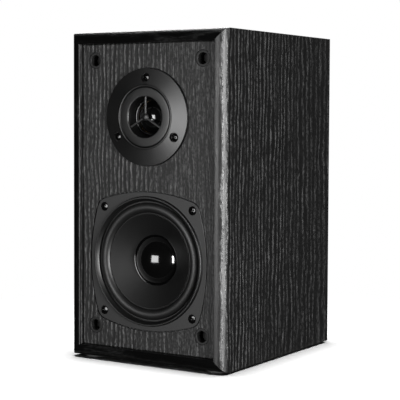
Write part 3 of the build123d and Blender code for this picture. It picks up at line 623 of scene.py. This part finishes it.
def wall_section():
    """Outline of a wall across its length: (inset from the outer face, y)."""
    outline = [(0.0, REAR_Y), (0.0, FRONT_Y + FRONT_ROUND)]
    for step in range(1, 17):
        angle = pi / 2 * step / 16
        outline.append((FRONT_ROUND * (1 - cos(angle)), FRONT_Y + FRONT_ROUND * (1 - sin(angle))))
    for step in range(7):
        angle = pi / 2 * step / 6
        inset = WALL - INNER_ROUND + INNER_ROUND * sin(angle)
        outline.append((inset, FRONT_Y + INNER_ROUND * (1 - cos(angle))))
    return outline + [(WALL, REAR_Y)]


def wall(name, upright, side):
    """Upright or level wall on one side, -1 or 1, between the mitres at its two ends."""
    loops = []
    for end in (-1, 1):
        x_side, z_side = (side, end) if upright else (end, side)
        edge_z = HIGH_Z if z_side > 0 else LOW_Z
        loops.append([
            (x_side * (HALF_WIDTH - inset), y, edge_z - z_side * inset) for inset, y in wall_section()
        ])
    return bevelled(mesh_object(name, stacked(loops)), WALL_EDGE)


def woofer_outline(grow=0.0):
    """Rounded square with bulging sides about the woofer's axis: points (x, z)."""
    side_steps, corner_steps = 20, 14
    middle = WOOFER_SIDE_R - WOOFER_HALF
    reach = WOOFER_SIDE_R - WOOFER_CORNER_R
    corner = (sqrt(2 * reach**2 - middle**2) - middle) / 2
    turn = atan2(corner, corner + middle)
    quarter = []
    for i in range(side_steps):
        angle = turn * (2 * i / side_steps - 1)
        radius = WOOFER_SIDE_R + grow
        quarter.append((radius * cos(angle) - middle, radius * sin(angle)))
    for i in range(corner_steps):
        angle = turn + (pi / 2 - 2 * turn) * i / corner_steps
        radius = WOOFER_CORNER_R + grow
        quarter.append((corner + radius * cos(angle), corner + radius * sin(angle)))
    outline = list(quarter)
    for _ in range(3):
        quarter = [(-z, x) for x, z in quarter]
        outline += quarter
    return outline


def socket_places():
    """Middle (x, z) of each grille socket."""
    places = []
    for mount in frame["record"]["mounts"]:
        if mount["name"].startswith("grille_socket"):
            x, _, z = mount["pos_m"]
            places.append((x / MM, z / MM))
    return places


def four_corners(half):
    return [(sx * half, sz * half) for sx in (-1, 1) for sz in (-1, 1)]


def tweeter_screw_places():
    turns = [radians(angle) for angle in SPOKE_ANGLES]
    return [(TWEETER_SCREW_R * cos(a), TWEETER_Z + TWEETER_SCREW_R * sin(a)) for a in turns]


def rod(radius, start, end, x=0.0, z=0.0, steps=SMALL_STEPS):
    """Cylinder along Y between two depths behind the baffle's face."""
    return turned([(0, start), (radius, start), (radius, end), (0, end)], z, x, steps=steps)


def baffle():
    """Board with a pocket for the woofer's flange, two round holes and a stepped hole per socket."""
    low, high = BAFFLE_LOW, BAFFLE_HIGH
    loops = []
    for inset, y in ((BAFFLE_CHAMFER, low.y), (0.0, low.y + BAFFLE_CHAMFER), (0.0, high.y)):
        x, z_low, z_high = high.x - inset, low.z + inset, high.z - inset
        loops.append([(-x, y, z_low), (x, y, z_low), (x, y, z_high), (-x, y, z_high)])
    board = mesh_object("front_baffle_veneered", stacked(loops))
    before, behind = -1, high.y - low.y + 1
    pocket = [(x, z + WOOFER_Z) for x, z in woofer_outline(POCKET_GAP)]
    holes = [
        prism(pocket, BAFFLE_Y + before, BAFFLE_Y + POCKET_DEPTH),
        rod(WOOFER_HOLE_R, before, behind, 0, WOOFER_Z, ROUND_STEPS),
        rod(TWEETER_HOLE_R, before, behind, 0, TWEETER_Z, ROUND_STEPS),
    ]
    rim_r, barrel_r = SOCKET_RIM_R + 0.1, SOCKET_BARREL_R + 0.05
    for x, z in socket_places():
        holes.append(turned([
            (0, before), (rim_r, before), (rim_r, SOCKET_RIM_DEPTH), (barrel_r, SOCKET_RIM_DEPTH),
            (barrel_r, behind), (0, behind),
        ], z, x, steps=SMALL_STEPS))
    return cut(board, *holes)


def sockets():
    """Blind sockets for grille pegs, each a rim, a barrel and a bore."""
    outline = softened([
        (0, SOCKET_BORE_DEPTH), (SOCKET_BORE_R, SOCKET_BORE_DEPTH), (SOCKET_BORE_R, 0),
        (SOCKET_RIM_R, 0), (SOCKET_RIM_R, SOCKET_RIM_DEPTH), (SOCKET_BARREL_R, SOCKET_RIM_DEPTH),
        (SOCKET_BARREL_R, SOCKET_END), (0, SOCKET_END),
    ], 0.5)
    return mesh_object("grille_sockets_turned", together(*[
        turned(outline, z, x, steps=SMALL_STEPS) for x, z in socket_places()
    ]))


def pads():
    """Round self-adhesive pads with soft edges."""
    low, high = limits("foot_pads")
    height = high.z - low.z
    outline = softened([(0, 0), (PAD_R, 0), (PAD_R, height), (0, height)], 0.5, steps=5)
    upright = Matrix.Rotation(pi / 2, 4, "X")
    shape = placed(turned(outline, y=0.0, steps=SMALL_STEPS), upright)
    return mesh_object("foot_pads_moulded", together(*[
        placed(shape, Matrix.Translation((side * (high.x - PAD_R), y, 0)))
        for side in (-1, 1) for y in (low.y + PAD_R, high.y - PAD_R)
    ]))


def cross_screw(head_r, head_depth, shank_r, length):
    """Screw along +Y with a low dome and a cross recess, its rim at y 0."""
    dome, rim, above, mouth, bottom, taper = 0.65, 0.12, -1.0, -0.1, 1.1, 0.55
    outline = [(0, -dome)] + arc((0, -dome), (head_r * 0.7, -dome * 0.55), (head_r, 0), 8)
    outline += [(head_r, rim), (shank_r, head_depth), (shank_r, length - shank_r), (0, length)]
    screw = mesh_object("screw", turned(outline, y=0.0, steps=SMALL_STEPS))
    arm, width = head_r * 0.6, head_r * 0.18
    slots = []
    for a, b in ((arm, width), (width, arm)):
        corners = ((-a, -b), (a, -b), (a, b), (-a, b))
        slots.append(stacked([
            [(x * share, y, z * share) for x, z in corners]
            for share, y in ((1.0, above), (1.0, mouth), (taper, bottom))
        ]))
    cut(screw, *slots)
    return bevelled(screw, 0.06, 1, 50)


def copies(name, source, matrices):
    """One object that holds the source's mesh at several places."""
    bm = bmesh.new()
    for matrix in matrices:
        spare = source.data.copy()
        spare.transform(matrix)
        bm.from_mesh(spare)
        bpy.data.meshes.remove(spare)
    bpy.data.objects.remove(source)
    return bmesh_object(name, bm)


def drive_screws(node, screw, places, y, turns, backward=False):
    """Screws at (x, z) places, each turned about its own axis so that no two crosses line up."""
    matrices = []
    for (x, z), turn in zip(places, turns):
        matrix = Matrix.Translation(Vector((x, y, z)) * MM) @ Matrix.Rotation(radians(turn), 4, "Y")
        if backward:
            matrix = matrix @ Matrix.Rotation(pi, 4, "X")
        matrices.append(matrix)
    screws = copies(node + "_driven", screw, matrices)
    finish_piece(screws, BLACK_SCREW, node)


# -------------------------------- woofer

def basket():
    """Square steel flange and landing, drawn into a bowl with four windows."""
    outline = woofer_outline()
    # Each ring is (radius, depth), or (None, depth, inset from the flange's outline)
    rings = [
        (None, SHEET, 0.0),
        (None, FLANGE_EDGE, 0.0),
        (None, 0.0, FLANGE_EDGE),
        (LANDING_R + FLANGE_EDGE, 0.0),
        (LANDING_R, FLANGE_EDGE),
        (LANDING_R, LANDING_DEPTH),
        (44.6, LANDING_DEPTH),
        (34.2, SHELF_DEPTH),
        (28.6, SHELF_DEPTH),
        (26.8, BOWL_DEPTH),
        (BOWL_BORE_R, BOWL_DEPTH),
        (BOWL_BORE_R, BOWL_DEPTH + SHEET),
        (27.8, BOWL_DEPTH + SHEET),
        (29.6, SHELF_DEPTH + SHEET),
        (35.0, SHELF_DEPTH + SHEET),
        (45.3, LANDING_DEPTH + SHEET),
        (LANDING_R + SHEET, LANDING_DEPTH + SHEET),
        (LANDING_R + SHEET, SHEET),
    ]
    verts, faces, count = [], [], len(outline)
    for radius, depth, *inset in rings:
        for x, z in outline:
            r = hypot(x, z) - inset[0] if inset else radius
            angle = atan2(z, x)
            verts.append((r * cos(angle), BAFFLE_Y + depth, WOOFER_Z + r * sin(angle)))
    for ring in range(len(rings)):
        a, b = ring * count, (ring + 1) % len(rings) * count
        for i in range(count):
            j = (i + 1) % count
            faces.append((a + i, b + i, b + j, a + j))
    made = mesh_object("woofer_basket_pressed", (verts, faces))
    cutters = []
    for turn in range(4):
        spread = [turn * pi / 2 + radians(28) * step / 6 for step in range(-6, 7)]
        window = [(60 * cos(a), 60 * sin(a) + WOOFER_Z) for a in spread]
        window += [(30 * cos(a), 30 * sin(a) + WOOFER_Z) for a in reversed(spread)]
        cutters.append(prism(window, BAFFLE_Y + 6, BAFFLE_Y + 20))
    countersink = [(0, -0.5), (3.5, -0.5), (3.5, 0), (2.1, 1.3), (0, 1.3)]
    for x, z in four_corners(WOOFER_SCREW_HALF):
        cutters.append(turned(countersink, WOOFER_Z + z, x, steps=SMALL_STEPS))
    return cut(made, *cutters)


def trim_ring():
    """Moulded ring with a raised bead round the surround."""
    outline = softened([
        (48.9, 2.2), (45.6, 2.2), (45.3, 0.3), (46.4, -0.9), (47.6, -1.9), (48.7, -1.9), (49.3, -0.1),
        (49.3, 0), (48.9, 0),
    ], 0.55, steps=5)
    return mesh_object("woofer_trim_ring_moulded", turned(outline, WOOFER_Z))


def cone_front(radius):
    """Depth of the straight line down the cone's front face at a radius."""
    outer_r, outer_depth, inner_r, inner_depth = 36.0, 2.0, 13.0, 14.8
    return outer_depth + (outer_r - radius) * (inner_depth - outer_depth) / (outer_r - inner_r)


def cone_back(radius):
    """Depth of the cone's rear face at a radius."""
    return cone_front(radius) + 0.9


def fall(radius, sphere):
    """How far a sphere's surface falls from its crown, at a distance from its axis."""
    return sphere - sqrt(sphere**2 - radius**2)


def sphere_through(edge_r, height):
    """Radius of the sphere whose cap has this edge and height."""
    return (edge_r**2 + height**2) / (2 * height)


def surround():
    """Rubber half roll between the landing and the cone's edge."""
    outline = [(48.8, 2.2), (44.5, 2.2)]
    outline += arc((44.5, 2.2), (40.2, 0.0), (36.5, 2.9), 28)
    lip = cone_back(33.8) + 0.05
    outline += [(36.2, cone_back(36.2) + 0.05), (33.8, lip), (33.8, lip + 0.7)]
    outline += [(36.9, 3.6)] + arc((36.9, 3.6), (40.2, 0.7), (44.1, 3.0), 24) + [(48.8, 3.0)]
    return mesh_object("woofer_surround_moulded", turned(outline, WOOFER_Z))


def radial_blend(obj):
    """Bakes obj's transform into its mesh."""
    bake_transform(obj)


def cone():
    """Pressed paper cone with a rolled edge and a short neck."""
    outline = softened([
        (36.0, cone_front(36.0)), (13.0, cone_front(13.0)), (13.0, 18.3), (13.6, 18.3),
        (13.6, cone_back(13.6)), (36.0, cone_back(36.0)),
    ], 0.3)
    return mesh_object("woofer_cone_pressed", turned(outline, WOOFER_Z))


def dust_cap():
    """Glossy cap with the raised bead of glue that holds it."""
    edge_r, edge_depth, height, thickness = 18.4, 11.8, 9.5, 0.5
    inner_r, inner_depth, glue_r = 17.9, 12.2, 19.5
    sphere, crown = sphere_through(edge_r, height), edge_depth - height
    outline = [(edge_r * i / 28, crown + fall(edge_r * i / 28, sphere)) for i in range(29)]
    outline += [(18.6, 11.62), (18.85, 11.42), (19.2, 11.22), (glue_r, 11.16)]
    outline += [(glue_r, cone_front(glue_r) + 0.05), (inner_r, inner_depth)]
    for step in range(20, -1, -1):
        r = inner_r * step / 20
        outline.append((r, crown + thickness + fall(r, sphere - thickness)))
    return mesh_object("woofer_dust_cap_pressed", turned(outline, WOOFER_Z))


def spider():
    """Corrugated disc with round ridges."""
    first, last, middle, swing, thickness = 14.5, 28.0, 20.7, 0.7, 0.4
    ridges, steps = 4, 64
    front = []
    for i in range(steps + 1):
        share = i / steps
        front.append((first + (last - first) * share, middle - swing * cos(2 * pi * ridges * share)))
    back = [(r, depth + thickness) for r, depth in reversed(front)]
    outline = [(13.1, 20.0)] + front + [(29.0, 21.6), (33.5, 21.6), (33.5, 22.0), (28.8, 22.0)]
    outline += back + [(13.1, 20.4)]
    return mesh_object("woofer_spider_pressed", turned(outline, WOOFER_Z))


def tinsel_leads():
    """Two braided leads in a low arc from the strip to the back of the cone."""
    half_gap, wire_r, turns, sides = 6.0, 0.45, 28, 10
    start, bow, end = (38.5, 23.1), (33.5, 14.0), (25.0, cone_back(25.0) + 0.55)
    path = [start] + arc(start, bow, end, turns)
    aside = Vector((1, 0, 0))
    shapes = []
    for x in (-half_gap, half_gap):
        loops = []
        for i, (height, depth) in enumerate(path):
            before, after = path[max(0, i - 1)], path[min(turns, i + 1)]
            along = Vector((0, after[1] - before[1], after[0] - before[0])).normalized()
            across = along.cross(aside)
            middle = Vector((x, BAFFLE_Y + depth, WOOFER_Z + height))
            radius = wire_r * (1 + 0.1 * (i % 2))
            spread = [2 * pi * k / sides for k in range(sides)]
            loops.append([tuple(middle + radius * (aside * cos(a) + across * sin(a))) for a in spread])
        shapes.append(stacked(loops))
    return mesh_object("woofer_tinsel_leads_braided", together(*shapes))


# -------------------------------- tweeter

def faceplate():
    """Moulded plate with a steep rim, a shallow cone, a bead, a flat ring and the throat."""
    foot, shoulder = (FACEPLATE_R, FACEPLATE_FOOT), (36.6, -2.2)
    bead_end, ring_inner = (22.6, RING_LEVEL), (16.1, RING_LEVEL)
    hollow, lip_r, hollow_inner, hollow_outer = -2.2, 18.0, 23.5, 26.3
    outline = [foot] + rounding(foot, shoulder, FACEPLATE_CROWN, 0.3, 5) + [FACEPLATE_CROWN]
    outline += arc(FACEPLATE_CROWN, (23.5, -4.42), bead_end, 10)
    outline += [(22.2, -3.65), (21.7, RING_LEVEL), ring_inner]
    outline += arc(ring_inner, (15.36, -3.69), (15.05, -2.95), 8)
    outline += [
        (14.5, THROAT_DEPTH), (lip_r, THROAT_DEPTH), (lip_r, hollow), (hollow_inner, hollow),
        (hollow_inner, THROAT_DEPTH), (hollow_outer, THROAT_DEPTH), (hollow_outer, FACEPLATE_FOOT),
    ]
    plate = mesh_object("tweeter_faceplate_moulded", turned(outline, TWEETER_Z))
    recesses = []
    for x, z in tweeter_screw_places():
        recesses += [rod(3.6, -6, -1.6, x, z), rod(1.8, -6, 1, x, z)]
    return bevelled(cut(plate, *recesses), 0.12, 2, 50)


def guard():
    """Hub on a stem, held by three spokes that widen into the throat wall."""
    hub_r, stem_r, half_spoke, crown, foot, soft = 2.9, 1.3, 0.75, -3.4, -2.3, 0.25
    outline = softened([
        (0, -4.0), (1.5, -3.9), (hub_r, -3.3), (hub_r, -2.2), (stem_r, -1.8), (stem_r, 0.2), (0, 0.2),
    ], 0.35)
    hub = turned(outline, TWEETER_Z, steps=SMALL_STEPS)
    spokes = []
    for angle in SPOKE_ANGLES:
        loops = []
        for r, half in ((0.5, half_spoke), (3.0, half_spoke), (12.0, half_spoke), (15.2, 0.8)):
            loops.append([
                (r, foot, -half), (r, foot, half), (r, crown + soft, half),
                (r, crown, half - soft), (r, crown, soft - half), (r, crown + soft, -half),
            ])
        turn = Matrix.Translation((0, BAFFLE_Y, TWEETER_Z)) @ Matrix.Rotation(-radians(angle), 4, "Y")
        spokes.append(placed(stacked(loops), turn))
    return mesh_object("tweeter_guard_moulded", together(hub, *spokes))


def dome():
    """Pressed dome, a little thinner at its edge."""
    edge_r, edge_depth, height, thickness, steps = 12.2, 6.5, 5.7, 0.4, 24
    sphere, crown = sphere_through(edge_r, height), edge_depth - height
    front, back = [], []
    for i in range(steps + 1):
        r = edge_r * i / steps
        depth = crown + fall(r, sphere)
        front.append((r, depth))
        back.append((r - thickness * i / steps, depth + thickness * (1 - 0.8 * i / steps)))
    return mesh_object("tweeter_dome_pressed", turned(front + back[::-1], TWEETER_Z))


def tweeter_roll():
    """Glossy half roll round the dome."""
    outline = [(17.8, 5.0), (14.4, 5.0)] + arc((14.4, 5.0), (13.4, 4.1), (12.4, 5.6), 14)
    outline += [(12.4, 6.3)] + arc((12.4, 6.3), (13.35, 4.6), (14.2, 5.4), 10) + [(17.8, 5.4)]
    return mesh_object("tweeter_surround_pressed", turned(outline, TWEETER_Z))


# -------------------------------- inside and rear

def wadding_pad(name, side):
    """Soft slab of wadding that swells between its edges and dimples a little."""
    low, high = limits("damping_pads")
    margin, least, fullest, outer_gap = 1.0, 0.45, 10.4, 0.3
    columns, rows = 18, 30
    size_y, size_z = high.y - low.y, high.z - low.z
    bm = bmesh.new()
    made = {}
    for i in range(columns + 1):
        for j in range(rows + 1):
            u, v = i / columns, j / rows
            rim = min(u, 1 - u, v * size_z / size_y, (1 - v) * size_z / size_y)
            swell = least + (1 - least) * min(1.0, rim * 9) ** 0.5
            dimple = 0.5 * sin(i * 1.9 + j * 0.7) * sin(j * 1.3 - i * 0.6)
            y = low.y + margin + u * (size_y - 2 * margin)
            z = low.z + margin + v * (size_z - 2 * margin)
            for face, depth in enumerate((outer_gap, fullest * swell + dimple)):
                made[i, j, face] = bm.verts.new(Vector((side * (high.x - depth), y, z)) * MM)
    for i in range(columns):
        for j in range(rows):
            for face in (0, 1):
                corners = ((i, j), (i + 1, j), (i + 1, j + 1), (i, j + 1))
                bm.faces.new([made[m, n, face] for m, n in corners])
    edge = [(i, 0) for i in range(columns)] + [(columns, j) for j in range(rows)]
    edge += [(i, rows) for i in range(columns, 0, -1)] + [(0, j) for j in range(rows, 0, -1)]
    for (i, j), (m, n) in zip(edge, edge[1:] + edge[:1]):
        bm.faces.new([made[i, j, 0], made[m, n, 0], made[m, n, 1], made[i, j, 1]])
    obj = clean(bmesh_object(name, bm))
    smooth = obj.modifiers.new("smooth", "SUBSURF")
    smooth.levels = smooth.render_levels = 1
    return clean(settle(obj))


def trim_edges(node, width):
    """Rounds the edges of a CAD node that keeps its own mesh."""
    weld = NODES[node].modifiers.new("weld", "WELD")
    weld.merge_threshold = 1e-6
    edge_bevel(NODES[node], width, 2, 30).harden_normals = True


def paint(node, *materials):
    """Gives a CAD node's slots their materials, the last one as often as there are slots left."""
    obj = NODES[node]
    if not obj.material_slots:
        obj.data.materials.append(materials[0])
    for index, slot in enumerate(obj.material_slots):
        slot.material = materials[min(index, len(materials) - 1)]


def build_cabinet():
    for name, side in (("left_side_panel", -1), ("right_side_panel", 1)):
        finish_piece(wall(name + "_veneered", True, side), ASH_SIDE, name)
    # The top and bottom walls take the darker copy of the vinyl, which is painted shade.
    for name, side in (("top_panel", 1), ("bottom_panel", -1)):
        finish_piece(wall(name + "_veneered", False, side), ASH_TOP_BOTTOM_PAINTED_SHADE, name)
    finish_piece(baffle(), ASH_BAFFLE, "front_baffle")
    finish_piece(sockets(), SOCKET_PLASTIC, "grille_sockets")
    finish_piece(pads(), FOOT_RUBBER, "foot_pads")
    for name, side in (("damping_pad_left", -1), ("damping_pad_right", 1)):
        pad = finish_piece(wadding_pad(name, side), WADDING, "damping_pads")


def build_woofer():
    finish_piece(basket(), BASKET_PAINT, "woofer_basket")
    finish_piece(trim_ring(), RING_PLASTIC, "woofer_trim_ring")
    roll = finish_piece(surround(), SURROUND_RUBBER, "woofer_surround", None)
    radial_blend(roll)
    finish_piece(cone(), CONE_PAPER, "woofer_cone", "woofer_cone")
    finish_piece(dust_cap(), CAP_GLOSS, "woofer_dust_cap", "woofer_cone")
    disc = finish_piece(spider(), SPIDER_CLOTH, "woofer_spider", None)
    radial_blend(disc)
    leads = finish_piece(tinsel_leads(), COPPER, "woofer_tinsel_leads", None)
    radial_blend(leads)
    screw = cross_screw(3.3, 1.15, 1.55, 8.5)
    places = [(x, WOOFER_Z + z) for x, z in four_corners(WOOFER_SCREW_HALF)]
    drive_screws("woofer_screws", screw, places, BAFFLE_Y, (12, 48, -25, 70))


def build_tweeter():
    finish_piece(faceplate(), FACE_PLASTIC, "tweeter_faceplate")
    finish_piece(guard(), RING_PLASTIC, "tweeter_guard")
    finish_piece(dome(), DOME_GLOSS, "tweeter_dome", "tweeter_dome")
    roll = finish_piece(tweeter_roll(), DOME_GLOSS, "tweeter_surround", None)
    radial_blend(roll)
    screw, head_y = cross_screw(3.0, 1.0, 1.55, 10.0), BAFFLE_Y - 2.3
    drive_screws("tweeter_screws", screw, tweeter_screw_places(), head_y, (30, 65, 5))


def return_spring(colour):
    """Leaf under a lever: a copy of its CAD solid."""
    node = f"terminal_spring_{colour}"
    leaf = NODES[node].copy()
    leaf.data = NODES[node].data.copy()
    leaf.name = node + "_leaf"
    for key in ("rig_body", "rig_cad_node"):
        del leaf[key]
    leaf.parent = None
    bpy.context.scene.collection.objects.link(leaf)
    finish_piece(leaf, PLATED_STEEL, node)
    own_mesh(leaf)


def build_rear():
    head_r = 2.5
    low, high = limits("terminal_screws")
    x, z, half_z = high.x - head_r, (low.z + high.z) / 2, (high.z - low.z) / 2 - head_r
    places = [(side * x, z + end * half_z) for side, end in four_corners(1)]
    screw, head_y = cross_screw(head_r, 1.35, 1.15, 9.0), high.y - 0.4
    drive_screws("terminal_screws", screw, places, head_y, (20, 55, -15, 80), backward=True)
    for node, width in EDGE_WIDTHS.items():
        trim_edges(node, width)
    for colour in ("red", "black"):
        return_spring(colour)


EDGE_WIDTHS = {
    "terminal_cup": 0.35,
    "terminal_lever_red": 0.3,
    "terminal_lever_black": 0.3,
    "woofer_top_plate": 0.3,
    "woofer_back_plate": 0.5,
    "tweeter_back_plate": 0.4,
    "crossover_board": 0.15,
    "attenuator_resistor": 0.4,
    "lead_connectors": 0.3,
}
CAD_FINISH = {
    "rear_panel": REAR_BOARD,
    "baffle_cleats": BARE_BOARD,
    "terminal_cup": CUP_PLASTIC,
    "terminal_lever_red": RED_PLASTIC,
    "terminal_lever_black": LEVER_BLACK,
    "lever_pins": PLATED_STEEL,
    "terminal_contacts": BRASS,
    "crossover_board": CIRCUIT_BOARD,
    "crossover_spacers": NYLON,
    "crossover_screws": PLATED_STEEL,
    "crossover_tabs": BRASS,
    "tweeter_capacitor": CAPACITOR_FILM,
    "woofer_capacitor": CAPACITOR_FILM,
    "woofer_inductor": COIL_COPPER,
    "attenuator_resistor": RESISTOR_CERAMIC,
    "lead_connectors": NYLON,
}
DRIVER_FINISH = {
    "gasket": FOAM,
    "coil_former": FORMER_PAPER,
    "voice_coil": COPPER,
    "top_plate": PLATED_STEEL,
    "magnet": FERRITE,
    "back_plate": PLATED_STEEL,
    "terminal_strip": FIBRE_BOARD,
    "terminal_lugs": BRASS,
}


def paint_cad():
    """Materials of the CAD nodes that keep their own mesh."""
    for node, material in CAD_FINISH.items():
        paint(node, material)
    for driver in ("woofer", "tweeter"):
        for part, material in DRIVER_FINISH.items():
            paint(f"{driver}_{part}", material)
    for place in ("input", "woofer", "tweeter"):
        paint(place + "_leads", WIRE_RED, WIRE_BLACK)


# -------------------------------- studio

TARGET = Vector((0, 0, (LOW_Z + HIGH_Z) / 2)) * MM
# Softboxes: name, azimuth, elevation, distance, width, height and radiance, in degrees and metres
FLOOR_LAMP = ("floor_light", 0, 90, 5.0, 0.9, 0.9, 150.0)
SOFTBOXES = (
    ("key_left", -9, 0.5, 1.3, 0.62, 0.54, 10.0),
    ("key_right", 65, 0, 1.3, 0.32, 0.6, 50.0),
    ("rear", 210, 10, 1.4, 0.8, 0.9, 7.0),
    ("side_left", -150, 5, 1.4, 0.4, 0.9, 5.6),
    ("above", 205, 50, 1.3, 0.8, 0.5, 4.0),
)
SHADED_WALLS = ("left_side_panel_veneered", "top_panel_veneered", "bottom_panel_veneered")
ROOM_LIGHT = 0.02
FLOOR_R = 6000.0
FLOOR_THICKNESS = 4.0
SKY_R = 5.9
SHADOW_ENDS = (0.16, 0.34)


def softbox(name, azimuth, elevation, distance, width, height, radiance):
    """Area light that faces the target. Azimuth 0 is straight before the baffle, + towards +X."""
    a, e = radians(azimuth), radians(elevation)
    direction = Vector((sin(a) * cos(e), -cos(a) * cos(e), sin(e)))
    data = bpy.data.lights.new(name, "AREA")
    data.shape = "RECTANGLE"
    data.size, data.size_y = width, height
    data.energy = radiance * pi * width * height
    light = scene_object(name, data)
    light.location = TARGET + direction * distance
    light.rotation_euler = (-direction).to_track_quat("-Z", "Y").to_euler()
    return light


def floor_paper():
    """Paper floor: lit near the speaker, where it takes a soft shadow, and white further out."""
    made = Surface("floor_paper", grey(0.9), 0.9, 0.0)
    distance = made.node("ShaderNodeVectorMath", {0: made.place}, operation="LENGTH").outputs["Value"]
    far = made.ranged(distance, *SHADOW_ENDS, interpolation_type="SMOOTHSTEP")
    white = made.node("ShaderNodeEmission", {}).outputs[0]
    mixed = made.node("ShaderNodeMixShader", {0: far, 1: made.shader.outputs[0], 2: white})
    made.link(mixed.outputs[0], made.tree.nodes["Material Output"].inputs["Surface"])
    return made.material


def white_glow():
    """Plain white that gives its own light."""
    glow = bpy.data.materials.new("white_sweep")
    glow.use_nodes = True
    tree = glow.node_tree
    tree.nodes.clear()
    emission, output = tree.nodes.new("ShaderNodeEmission"), tree.nodes.new("ShaderNodeOutputMaterial")
    tree.links.new(emission.outputs[0], output.inputs[0])
    return glow


def sweep():
    """Pale floor and white dome that only the camera sees. Returns the floor."""
    circle = [2 * pi * i / 96 for i in range(96)]
    floor = mesh_object("floor", stacked([
        [(FLOOR_R * cos(a), FLOOR_R * sin(a), z) for a in circle] for z in (-FLOOR_THICKNESS, 0.0)
    ]))
    floor.data.materials.append(floor_paper())
    bm = bmesh.new()
    bmesh.ops.create_uvsphere(bm, u_segments=48, v_segments=24, radius=SKY_R)
    sky = bmesh_object("sky", bm)
    sky.data.materials.append(white_glow())
    for stage in (floor, sky):
        stage.visible_diffuse = False
        stage.visible_glossy = False
        stage.visible_transmission = False
        stage.visible_shadow = False
    return floor


def studio():
    """A lamp for the floor alone, and five softboxes that light everything but the floor. The left
    key light also leaves out the walls that it would only graze."""
    scene = bpy.context.scene
    scene.view_settings.view_transform = "Standard"
    scene.world = bpy.data.worlds.new("studio")
    scene.world.use_nodes = True
    background = scene.world.node_tree.nodes["Background"]
    background.inputs["Color"].default_value = (1, 1, 1, 1)
    background.inputs["Strength"].default_value = ROOM_LIGHT

    floor = sweep()
    lit = bpy.data.collections.new("lit_floor")
    lit.objects.link(floor)
    softbox(*FLOOR_LAMP).light_linking.receiver_collection = lit
    for row in SOFTBOXES:
        light = softbox(*row)
        unlit = bpy.data.collections.new("unlit_by_" + light.name)
        unlit.objects.link(floor)
        for wall in SHADED_WALLS if light.name == "key_left" else ():
            unlit.objects.link(bpy.data.objects[wall])
        light.light_linking.receiver_collection = unlit
        for entry in unlit.collection_objects:
            entry.light_linking.link_state = "EXCLUDE"


# The camera's heading, pitch and roll in degrees, and its place in metres
CAMERA_HEADING = 32.338
CAMERA_PITCH = 2.964
CAMERA_ROLL = 0.231
CAMERA_PLACE = (0.537683, -0.856212, 0.188913)
SENSOR = 36.0
FOCAL_LENGTH = 3.14956 * SENSOR
VIEW_SHIFT = -0.05


def camera():
    """Looks across the front right corner from a little above the middle."""
    data = bpy.data.cameras.new("camera")
    data.sensor_width = SENSOR
    data.lens = FOCAL_LENGTH
    data.shift_y = VIEW_SHIFT
    data.clip_start, data.clip_end = 0.01, 50.0
    eye = scene_object("camera", data)
    turn = Matrix.Translation(CAMERA_PLACE)
    for angle, axis in ((CAMERA_HEADING, "Z"), (90 - CAMERA_PITCH, "X"), (CAMERA_ROLL, "Z")):
        turn = turn @ Matrix.Rotation(radians(angle), 4, axis)
    eye.matrix_world = turn
    bpy.context.scene.camera = eye


build_cabinet()
build_woofer()
build_tweeter()
build_rear()
paint_cad()
studio()
camera()
